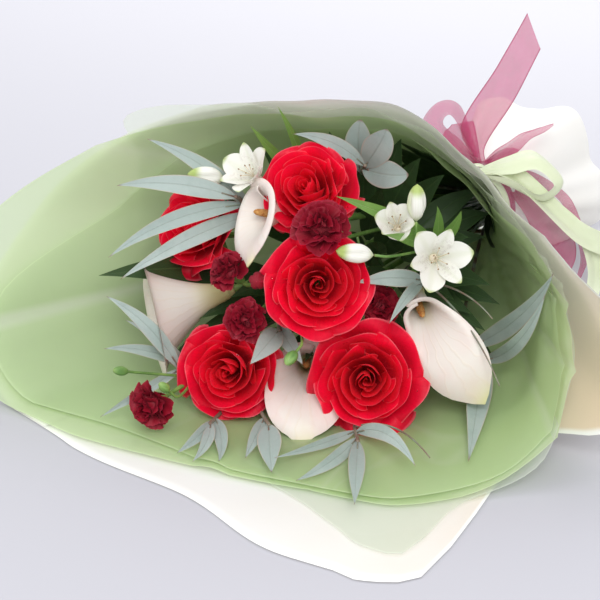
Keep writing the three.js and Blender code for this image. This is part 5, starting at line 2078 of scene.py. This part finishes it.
@dataclass(frozen=True)
class Bow:
    """A ribbon round the neck, with its knot, loops and tails.

    Attributes:
        along: Where it is along the neck.
        flat_width: The ribbon's width when it is flat, in metres; not used.
        knot_base: How far the knot's underside is from the axis.
    """

    name: str
    cloth: Cloth
    along: float
    strips: tuple[Strip, ...]
    flat_width: float
    band_radius: float = 36.6
    band_width: float = 14.0
    knot_base: float = 35.7

    def strip(self, plan: Strip, rng: Chance) -> Array:
        """Lays a loop or tail with small crinkles.

        Args:
            plan: The strip.
            rng: The bow's chance.

        Returns:
            Its points.
        """
        edges = [curve_through(np.array([SHOW.seat(pair[n]) for pair in plan]), 14) for n in (0, 1)]
        side = in_columns(15, 0.0)[..., None]
        grid = edges[0][:, None] * (1 - side) + edges[1][:, None] * side
        normal = surface_normals(grid)
        along = in_rows(len(grid))
        across = side[..., 0] - 0.5
        phase = rng.uniform(0.0, 6.0, 3)
        cup = 1.8 * np.sin(2.0 * np.pi * across + phase[0]) * (0.4 + np.sin(np.pi * along))
        gather = 1.5 * np.cos(9.0 * np.pi * across + phase[1]) * bell(along, 0.0, 0.12)
        ripple = 0.7 * np.sin(16.0 * along + 5.0 * across + phase[2]) * (2.0 * np.abs(across)) ** 2
        return grid + (cup + gather + ripple)[..., None] * normal

    def band(self, rng: Chance) -> Array:
        """Lays the gathered band round the neck."""
        angle = np.linspace(0.0, 360.0, 97)[None, :-1]
        across = in_rows(11, -0.5, 0.5)
        wander = 0.8 * np.sin(np.radians(3 * angle) + rng.uniform(0, 6))
        fold = 0.7 * np.cos(3.0 * 2 * np.pi * across + wander)
        radius = self.band_radius + fold * (1.0 - (2 * across) ** 4)
        along = self.along + self.band_width * across + 0.8 * np.sin(np.radians(5.0 * angle))
        return NECK.around(angle + 0.0 * across, radius, along).transpose(1, 0, 2)

    def knot(self, rng: Chance) -> Array:
        """Shapes the knot: the ribbon wound once over the band."""
        place = Place.towards(NECK.around(90.0, 0.0, self.along), NECK.over())
        turn = np.linspace(0.0, 2 * np.pi, 49)[:-1][:, None]
        across = in_columns(13)
        pinch = 6.4 - 1.5 * across**2 + 0.5 * np.cos(7.0 * across + rng.uniform(0, 6))
        pinch = pinch + 0.3 * np.sin(3.0 * turn)
        x = pinch * np.cos(turn) * 1.05
        z = self.knot_base + 5.5 + 0.85 * pinch * np.sin(turn)
        y = 6.2 * across + 0.0 * turn
        return place.put(np.stack([x, y, z], -1))

    def build(self, finish: Material) -> None:
        rng, draft = chance(self.name), Draft()
        pieces = [self.strip(plan, rng) for plan in self.strips]
        for grid in pieces:
            draft.sheet(grid, tint=float(rng.uniform()))
        band, knot = self.band(rng), self.knot(rng)
        draft.sheet(np.concatenate([band, band[:1]]), tint=0.4)
        draft.sheet(np.concatenate([knot, knot[:1]]), tint=0.7)
        bow = draft.build(f"{self.name}_bow", self.cloth.value, [self.name], finish)


@dataclass(frozen=True)
class StemTie:
    """The cord wound round the stems inside the neck: its turns' radius and width, and the cord's radius."""

    radius: float = 24.5
    width: float = 14.0
    turns: int = 5
    cord: float = 0.85

    def build(self, finish: Material) -> None:
        """Makes the cord."""
        draft = Draft()
        for n in range(self.turns):
            along = self.width * ((n + 0.5) / self.turns - 0.5)
            angle = np.linspace(0.0, 360.0, 73)[:-1]
            body = []
            for side in np.linspace(0.0, 2 * np.pi, 8, endpoint=False):
                reach = self.radius + self.cord * math.cos(side)
                step = along + 1.5 * self.cord * math.sin(side)
                body.append(NECK.around(angle, np.full_like(angle, reach), np.full_like(angle, step)))
            grid = np.array(body)
            draft.sheet(np.concatenate([grid, grid[:1]]), ring=True, tint=0.1 * n)
        draft.build("stem_tie_cord", "cord", ["stem_tie"], finish)


# The flowers, in the order in which their stems take their places.
ROSES = (
    Rose("rose_low_right", (47, -76, 13), (-0.05, -0.1, 1), 48, 0.3),
    Rose("rose_middle", (7, 4, 38), (0.02, -0.08, 1), 46, 1.1),
    Rose("rose_top", (-4, 87, 4), (-0.25, 0.25, 0.93), 44, 2),
    Rose("rose_low_left", (-70, -69, -6), (-0.18, -0.1, 1), 45, 0.7),
    Rose("rose_left", (-103, 52, -66), (-0.6, 0.1, 0.8), 43, 1.5),
)

CARNATIONS = (
    CarnationSpray(
        "carnation_spray_middle",
        heads=(
            CarnationHead("carnation_middle", (9, 56, 44), (-0.1, 0.45, 0.85), 24, 0.2),
            CarnationHead("carnation_right", (60, -14, -14), (0.2, -0.1, 1), 18, 0.5),
        ),
        buds=(), fork=80,
    ),
    CarnationSpray(
        "carnation_spray_left",
        heads=(
            CarnationHead("carnation_left", (-70, 18, -8), (-0.6, 0.5, 0.6), 19, 0.9),
            CarnationHead("carnation_low", (-55, -25, 4), (-0.2, 0.1, 1), 18, 0.1),
            CarnationHead("carnation_bud", (-43, 8, 13), (-0.1, -0.1, 1), 7.6, length=15),
        ),
        buds=(GreenBud((-12, -52, 30), (-0.5, -0.6, 0.6), 5, 16),), fork=70,
    ),
    CarnationSpray(
        "carnation_spray_low_left",
        heads=(CarnationHead("carnation_far_left", (-135, -98, 2), (-0.55, -0.35, 0.7), 21, 0.4),),
        buds=(
            GreenBud((-152, -68, 0), (-0.7, 0.1, 0.6), 4, 15),
            GreenBud((-118, -84, 8), (-0.5, 0.5, 0.6), 4, 13),
        ),
        fork=45,
    ),
)

CALLAS = (
    Calla(
        "calla_upper", seat=(-51, 66, -2), faces=(-0.82, 0.1, 0.5), tip=(0.1, -1, 0.2), tube=44, mouth=25,
        lip=15, curl=0.2,
    ),
    Calla(
        "calla_left", seat=(-131, -22, -60), faces=(-0.93, -0.32, 0.16), tip=(-0.45, -0.85, 0.1), tube=68,
        mouth=39, lip=14, curl=0.1, slant=0.9, narrow=0.8, flare=1.5,
    ),
    Calla(
        "calla_low", seat=(-3, -64, -38), faces=(0, -0.1, 1), tip=(-0.08, -1, 0), tube=44, mouth=21, lip=30,
        curl=0.2, slant=1.8, narrow=1.7,
    ),
    Calla(
        "calla_right", seat=(95, -25, 4), faces=(0.12, -0.5, 0.85), tip=(0.58, -0.81, 0), tube=50, mouth=15,
        lip=52, curl=0.3, slant=0.82, narrow=4.6,
    ),
)

ALSTROEMERIAS = (
    StarSpray(
        "alstroemeria_left",
        heads=(
            StarHead("bloom", (-53, 100, -18), (-0.5, 0.4, 0.7), 29, 0.85, 0.4),
            StarHead("bud", (-88, 95, -34), (-0.9, 0.1, 0.3), 8.5, length=30),
        ),
        leaves=(LeafPlan((-27, 153, -10), 9, 74, (2, 3, 3)), LeafPlan((-50, 137, -8), 10, 66, (-2, 3, 2))),
    ),
    StarSpray(
        "alstroemeria_right",
        heads=(
            StarHead("bloom", (107, 26, 40), (0.15, -0.05, 1), 30, 0.95, 0.2),
            StarHead("bloom_behind", (72, 56, 20), (-0.1, 0.25, 0.9), 26, 0.7, 0.8),
            StarHead("bud_upper", (89, 74, 30), (0, 1, 0.45), 8, length=30),
            StarHead("bud_middle", (36, 31, 45), (-0.9, 0.1, 0.3), 8, length=30),
        ),
        leaves=(
            LeafPlan((22, 78, 44), 14, 74, (0, 4, 8)), LeafPlan((126, 66, 32), 10, 50, (4, 2, 4)),
            LeafPlan((106, 70, 26), 9, 53, (2, 2, 4)), LeafPlan((62, 46, 52), 11, 57, (0, 2, 4)),
        ),
    ),
)

EUCALYPTUS = (
    Eucalyptus(
        "eucalyptus_upper_left", stem=((-40, 60, -70), (-62, 78, -28)),
        leaves=(
            LeafPlan((-161, 87, -16), 17, 0, (0, 6, 6)), LeafPlan((-168, 27, -10), 15, 15, (-4, 8, 9)),
            LeafPlan((-158, 9, -4), 16, 35, (-2, 4, 10)), LeafPlan((-136, 126, -40), 15, 25, (4, 6, 4)),
        ),
    ),
    Eucalyptus(
        "eucalyptus_left", stem=((-86, -60, -84), (-110, -66, -31)),
        leaves=(
            LeafPlan((-170, -5, -2), 14, 0, (4, 6, 8)), LeafPlan((-154, -25, -2), 9, 15, (2, 4, 4)),
            LeafPlan((-172, -49, -16), 11, 19, (0, 6, 4)), LeafPlan((-175, -106, -10), 9, 5, (0, 0, -3)),
        ),
    ),
    Eucalyptus(
        "eucalyptus_lower_left", stem=((-60, -88, -60), (-84, -112, -2)),
        leaves=(
            LeafPlan((-111, -136, 38), 10, 5, (2, 0, 3)), LeafPlan((-98, -143, 46), 10, 0, (4, 0, 3)),
            LeafPlan((-76, -143, 46), 12, 10, (4, 0, 3)),
        ),
    ),
    Eucalyptus(
        "eucalyptus_bottom", stem=((-46, -93, -44), (-34, -113, 8)),
        leaves=(LeafPlan((-32, -152, 66), 20, 0, (0, 0, 3)), LeafPlan((-54, -140, 50), 11, 15, (0, 0, 3))),
    ),
    Eucalyptus(
        "eucalyptus_lower_right", stem=((34, -99, -38), (40, -127, 20)),
        leaves=(
            LeafPlan((-12, -159, 80), 12, 5, (4, -1, 5)), LeafPlan((-30, -140, 54), 9, 18, (4, 0, 2)),
            LeafPlan((37, -179, 112), 14, 0, (0, 0, 4)), LeafPlan((88, -147, 74), 13, 15, (2, 12, 5)),
            LeafPlan((100, -140, 66), 5, 25, (2, 12, 4)),
        ),
    ),
    Eucalyptus(
        "eucalyptus_right", stem=((124, -36, -88), (146, -60, -60)),
        leaves=(
            LeafPlan((132, -143, 54), 23, 4, (4, 6, -16)), LeafPlan((203, 14, 34), 17, 20, (6, -6, 2)),
            LeafPlan((196, -4, 46), 14, 0, (3, -12, 4)),
        ),
    ),
    Eucalyptus(
        "eucalyptus_centre", stem=((-26, -24, -70), (-26, -34, -24)),
        leaves=(LeafPlan((-50, -62, 22), 20, 0, (2, 2, 6)), LeafPlan((-6, -62, 10), 14, 15, (0, 0, 2))),
    ),
    Eucalyptus(
        "eucalyptus_top", stem=((40, 96, -80), (46, 104, -36)),
        leaves=(
            LeafPlan((-14, 130, 4), 13, 0, (2, 6, 4)),
            LeafPlan((64, 134, 10), 26, 5, (2, 0, 4), round_tip=True),
            LeafPlan((82, 96, 6), 24, 10, (0, -3, 3), round_tip=True),
            LeafPlan((42, 142, -20), 24, 25, (-2, 0, 2), round_tip=True),
        ),
    ),
    Eucalyptus(
        "eucalyptus_middle_right", stem=((88, 6, -60), (96, 8, -12)),
        leaves=(
            LeafPlan((38, 6, 28), 15, 0, (0, 3, 3)), LeafPlan((66, -28, 34), 10, 5, (0, 4, 2)),
            LeafPlan((158, -80, 30), 5, 9, (4, 8, 2)), LeafPlan((152, -24, 26), 5, 14, (4, 6, 2)),
        ),
    ),
)

# The sheets of the wrap, and where each one's rim lies.
PAPER_RIM = (
    (-152, 459, 4), (-136, 495, 4), (-94, 526, 4), (-60, 562, 4), (-52, 562, 4), (-48, 566, 4),
    (-44, 561, 4), (-40.5, 547, 5), (-38, 494, 8), (-35, 418, 14), (-31, 352, 22), (-25, 326, 38),
    (-18, 336, 62), (-12, 334, 80), (0, 336, 40), (12, 312, 10), (33, 300, 5), (61, 292, 5), (88, 309, 5),
    (110, 326, 5), (142, 312, 5), (173, 375, 5), (189, 440, 5),
)
OUTER_FILM_RIM = (
    (-84, 472, 2), (-66, 492, 2), (-54, 513, 2), (-48, 527, 2), (-43, 528, 2), (-40, 496, 2), (-37, 440, 2),
    (-30, 402, 2), (-12, 346, 2), (12, 306, 2), (61, 284, 2), (110, 320, 2), (134, 330, 2), (150, 352, 2),
    (162, 310, 2), (180, 300, 2),
)
INNER_FILM_RIM = (
    (-132, 462, -2), (-98, 480, 0), (-69, 475, 0), (-48, 466, 0), (-23, 370, -1), (-2, 328, -3),
    (12, 288, -6), (61, 270, -6), (110, 298, -6), (142, 268, -6), (173, 320, -6), (190, 440, -6),
    (208, 456, -4),
)
MIDDLE_FILM_RIM = tuple((row[0], row[2], 0.0) for row in WRAP_FORM)
FILM_CREASES = (
    Crease(194.0, 9.0, 2.5), Crease(-20.0, 5.0, 2.5), Crease(-8.0, 6.0, 2.5), Crease(4.0, 5.0, 2.5),
    Crease(-62.0, 4.0, 3.0), Crease(160.0, 4.0, 4.0),
)
PAPER_CREASES = (Crease(-14.0, 8.0, 5.0), Crease(-50.0, 5.0, 4.0), Crease(20.0, 4.0, 5.0))
SHEETS = (
    WrapSheet(
        "paper_wrap", Foil.PAPER, start=-162.0, end=216.0, rim=PAPER_RIM, outer=0.0, inner=1.0, tail=135.0,
        ripple=0.8, raised=0.8, creases=PAPER_CREASES,
    ),
    WrapSheet("film_outer", Foil.VEIL, start=-90.0, end=180.0, rim=OUTER_FILM_RIM, outer=2.2, inner=2.2),
    WrapSheet(
        "film_middle", Foil.FILM, -126.0, 234.0, MIDDLE_FILM_RIM, 3.7, 3.7, ripple=0.8,
        creases=FILM_CREASES,
    ),
    WrapSheet(
        "film_inner", Foil.FILM, -144.0, 216.0, INNER_FILM_RIM, 6.0, 6.0, ripple=0.8, creases=FILM_CREASES,
    ),
)

# The ribbons. Each strip has its two edges at each step.
ORGANZA_STRIPS = (
    (
        ((140, 104, -322), (148, 101, -320)), ((126, 137, -318), (146, 120, -314)),
        ((156, 187, -314), (171, 160, -310)), ((181, 231, -308), (192, 201, -304)),
    ),
    (
        ((138, 104, -330), (142, 104, -317)), ((112, 118, -336), (126, 124, -308)),
        ((94, 138, -338), (112, 138, -310)), ((106, 156, -338), (115, 146, -312)),
        ((126, 152, -334), (121, 140, -312)), ((141, 110, -328), (134, 112, -317)),
    ),
    (
        ((139, 104, -324), (143, 104, -322)), ((112, 126, -326), (138, 133, -322)),
        ((118, 138, -322), (136, 141, -318)),
    ),
    (
        ((146, 106, -330), (148, 101, -314)), ((160, 119, -334), (162, 107, -310)),
        ((175, 117, -334), (174, 107, -310)), ((164, 105, -332), (163, 103, -312)),
        ((148, 103, -328), (149, 101, -314)),
    ),
    (
        ((145, 108, -332), (148, 101, -314)), ((161, 123, -340), (166, 112, -312)),
        ((181, 134, -344), (184, 127, -316)), ((203, 139, -348), (203, 137, -318)),
    ),
    (
        ((149, 106, -322), (145, 103, -320)), ((176, 88, -326), (168, 78, -320)),
        ((200, 64, -316), (177, 64, -306)), ((218, 46, -304), (187, 45, -296)),
        ((221, 27, -292), (200, 24, -284)), ((213, 8, -282), (209, 8, -276)),
    ),
    (
        ((150, 104, -328), (147, 101, -324)), ((185, 98, -330), (182, 90, -326)),
        ((210, 82, -326), (204, 77, -320)), ((223, 62, -320), (215, 58, -314)),
        ((232, 32, -310), (225, 28, -306)), ((223, 4, -300), (218, 2, -296)),
    ),
)
SATIN_STRIPS = (
    (
        ((139, 101, -306), (141, 98, -296)), ((164, 112, -298), (168, 98, -276)),
        ((188, 117, -294), (190, 101, -270)), ((212, 94, -290), (206, 87, -266)),
        ((197, 74, -290), (191, 78, -268)), ((168, 84, -294), (168, 90, -276)),
        ((141, 98, -304), (142, 96, -296)),
    ),
    (
        ((136, 102, -310), (134, 98, -298)), ((110, 116, -318), (106, 106, -294)),
        ((90, 108, -320), (90, 98, -296)), ((112, 103, -316), (112, 102, -298)),
        ((135, 98, -308), (136, 96, -298)),
    ),
    (
        ((142, 102, -306), (138, 98, -300)), ((174, 101, -292), (166, 90, -282)),
        ((226, 56, -286), (220, 40, -276)), ((252, 46, -290), (244, 28, -280)),
    ),
    (
        ((138, 100, -303), (134, 97, -298)), ((176, 92, -300), (170, 86, -294)),
        ((212, 68, -294), (204, 60, -288)), ((234, 46, -292), (224, 40, -286)),
        ((244, 18, -288), (231, 15, -282)), ((240, -8, -262), (228, -8, -256)),
    ),
)
BOWS = (
    Bow("ribbon_organza", Cloth.ORGANZA, -8.0, ORGANZA_STRIPS, flat_width=0.038),
    Bow("ribbon_satin", Cloth.SATIN, 7.0, SATIN_STRIPS, flat_width=0.025),
)


FINISHES = {
    "rose": VelvetPetal(
        "rose petal", heart=(0.42, 0.0, 0.012), blade=(0.96, 0.004, 0.044), rim=(0.96, 0.24, 0.28),
        rim_share=0.5, sheen=0.06, roughness=0.46, through=0.38,
    ),
    "drop": WaterDrop(),
    "carnation": VelvetPetal(
        "carnation petal", heart=(0.06, 0.0, 0.003), blade=(0.27, 0.001, 0.014), rim=(0.46, 0.012, 0.06),
        rim_share=0.4, sheen=0.05, sheen_tint=(0.9, 0.2, 0.3), roughness=0.6, fan=10.0, through=0.08,
    ),
    "calla": CreamSpathe(),
    "spadix": SpadixFinish(),
    "star_petal": StarPetal(),
    "star_bud": StarPetal("alstroemeria bud", green=0.6, rib=0.5, tip=(0.40, 0.52, 0.12)),
    "filament": StemFinish("filament", (0.78, 0.70, 0.56), (0.6, 0.5, 0.3), (0.6, 0.3, 0.2)),
    "anther": StemFinish("anther", (0.30, 0.16, 0.05), (0.16, 0.08, 0.02), (0.4, 0.2, 0.05)),
    "eucalyptus": LeafFinish(
        "eucalyptus leaf", blade=(0.40, 0.48, 0.44), deep=(0.17, 0.26, 0.23), vein=(0.25, 0.30, 0.25),
        edge=(0.50, 0.42, 0.34), tip=(0.24, 0.10, 0.06),
    ),
    "green_leaf": LeafFinish(
        "green leaf", blade=(0.20, 0.38, 0.07), deep=(0.07, 0.20, 0.03), vein=(0.36, 0.52, 0.18),
        edge=(0.22, 0.40, 0.08), tip=(0.30, 0.36, 0.08), bloom=0.05, roughness=0.36,
    ),
    # Painted shade: leaves coloured near black to stand for the deep shade inside the bunch.
    "painted_shade_leaf": LeafFinish(
        "leaf in the shade", blade=(0.05, 0.11, 0.03), deep=(0.014, 0.035, 0.01), vein=(0.09, 0.17, 0.05),
        edge=(0.07, 0.14, 0.04), tip=(0.07, 0.14, 0.04), bloom=0.03, roughness=0.4,
    ),
    "stem": StemFinish("stem", (0.20, 0.34, 0.08), (0.09, 0.20, 0.04), (0.40, 0.46, 0.16)),
    "grey_stem": StemFinish("grey stem", (0.22, 0.27, 0.20), (0.16, 0.10, 0.07), (0.30, 0.16, 0.12)),
    "film": FilmFinish(),
    "veil": FilmFinish("film veil", (0.74, 0.81, 0.68), (0.87, 0.90, 0.84), 0.34),
    "paper": PaperFinish(),
    "organza": RibbonFinish(
        Cloth.ORGANZA, colour=(0.52, 0.03, 0.16), deep=(0.40, 0.015, 0.07), edge=(0.24, 0.01, 0.05),
        cover=0.52, through=0.3, edge_share=0.9, roughness=0.4, holes=0.25,
    ),
    "satin": RibbonFinish(
        Cloth.SATIN, colour=(0.68, 0.74, 0.52), deep=(0.60, 0.67, 0.42), edge=(0.70, 0.75, 0.54),
        cover=1.0, through=0.22, edge_share=0.5, roughness=0.3,
    ),
    "cord": CordFinish(),
    "floor": FloorFinish(),
}


@dataclass(frozen=True)
class Finishes:
    """All the materials of the bouquet, by the names in the table of finishes."""

    rose: Material
    drop: Material
    carnation: Material
    calla: Material
    spadix: Material
    star_petal: Material
    star_bud: Material
    filament: Material
    anther: Material
    eucalyptus: Material
    green_leaf: Material
    painted_shade_leaf: Material
    stem: Material
    grey_stem: Material
    film: Material
    veil: Material
    paper: Material
    organza: Material
    satin: Material
    cord: Material
    floor: Material

    @classmethod
    def make(cls) -> "Finishes":
        """Makes every material with its own colours."""
        effects = Effects.make()
        return cls(**{name: finish.material(effects) for name, finish in FINISHES.items()})


@dataclass(frozen=True)
class SoftBox:
    """A soft studio light: where it is and what it looks at in metres, its size and its watts."""

    name: str
    place: Spot
    target: Spot
    size: float
    watts: float

    def build(self) -> None:
        """Hangs the light."""
        lamp = bpy.data.lights.new(self.name, "AREA")
        lamp.shape = "SQUARE"
        lamp.size = self.size
        lamp.energy = self.watts
        facing = Place.towards(np.array(self.place), np.array(self.place) - np.array(self.target))
        turned = Matrix(facing.basis.tolist()).to_4x4()
        link(self.name, lamp).matrix_world = Matrix.Translation(self.place) @ turned


@dataclass(frozen=True)
class Studio:
    """The floor, the lights and the camera.

    Attributes:
        lens: The lens in millimetres.
        sensor: The sensor's width in millimetres.
        shift: How far the picture is shifted, in shares of its width.
        floor_size: Half the floor's width in metres.
        boxes: The lights.
        sky: The colour of the surroundings.
        sky_light: How strongly they shine.
    """

    lens: float = 108.0
    sensor: float = 36.0
    shift: tuple[float, float] = (-10 / 600, -10 / 600)
    floor_size: float = 4.0
    boxes: tuple[SoftBox, ...] = (
        SoftBox("key", (1.5, -2.4, 2.3), (0.0, -0.1, 0.05), 1.7, 84.0),
        SoftBox("fill", (-2.2, -1.8, 1.6), (0.0, -0.1, 0.1), 1.6, 26.0),
        SoftBox("back", (-0.5, 1.8, 2.0), (-0.3, 0.9, 0.0), 2.2, 40.0),
    )
    sky: Colour = (0.93, 0.94, 1.0)
    sky_light: float = 0.86

    def build_floor(self, finish: Material) -> None:
        """Lays the floor."""
        half = self.floor_size
        mesh = bpy.data.meshes.new("floor")
        corners = [(-half, -half, 0), (half, -half, 0), (half, half, 0), (-half, half, 0)]
        mesh.from_pydata(corners, [], [(0, 1, 2, 3)])
        mesh.materials.append(finish)
        link("floor", mesh)

    def build_camera(self) -> None:
        """Sets up the camera on the side that the bouquet shows."""
        data = bpy.data.cameras.new("camera")
        data.lens = self.lens
        data.sensor_width = self.sensor
        data.shift_x, data.shift_y = self.shift
        data.clip_end = 50.0
        camera = link("camera", data)
        place = (np.asarray(SHOW.heart) + SHOW.distance * OUT) * MM
        basis = Matrix(np.stack([RIGHT, UP, OUT], axis=1).tolist()).to_4x4()
        camera.matrix_world = Matrix.Translation(place.tolist()) @ basis
        bpy.context.scene.camera = camera

    def build_light(self) -> None:
        """Hangs the lights and sets the pale surroundings."""
        for box in self.boxes:
            box.build()
        world = bpy.data.worlds.new("surroundings")
        world.use_nodes = True
        background = world.node_tree.nodes["Background"]
        background.inputs["Color"].default_value = (*self.sky, 1.0)
        background.inputs["Strength"].default_value = self.sky_light
        bpy.context.scene.world = world
        bpy.context.scene.view_settings.view_transform = "Standard"


def main() -> None:
    """Builds the bouquet, piece by piece, and sets it in the studio."""
    logging.basicConfig(level=logging.INFO, format="%(message)s")
    finishes, bunch = Finishes.make(), Bunch()
    for plant in (*ROSES, *CARNATIONS, *CALLAS, *ALSTROEMERIAS, *EUCALYPTUS):
        plant.build(bunch, finishes)
    ShadeFoliage().build(finishes.painted_shade_leaf)
    for sheet in SHEETS:
        sheet.build(getattr(finishes, sheet.foil.value))
    for bow in BOWS:
        bow.build(getattr(finishes, bow.cloth.value))
    StemTie().build(finishes.cord)
    studio = Studio()
    studio.build_floor(finishes.floor)
    studio.build_camera()
    studio.build_light()


if __name__ == "__main__":
    main()
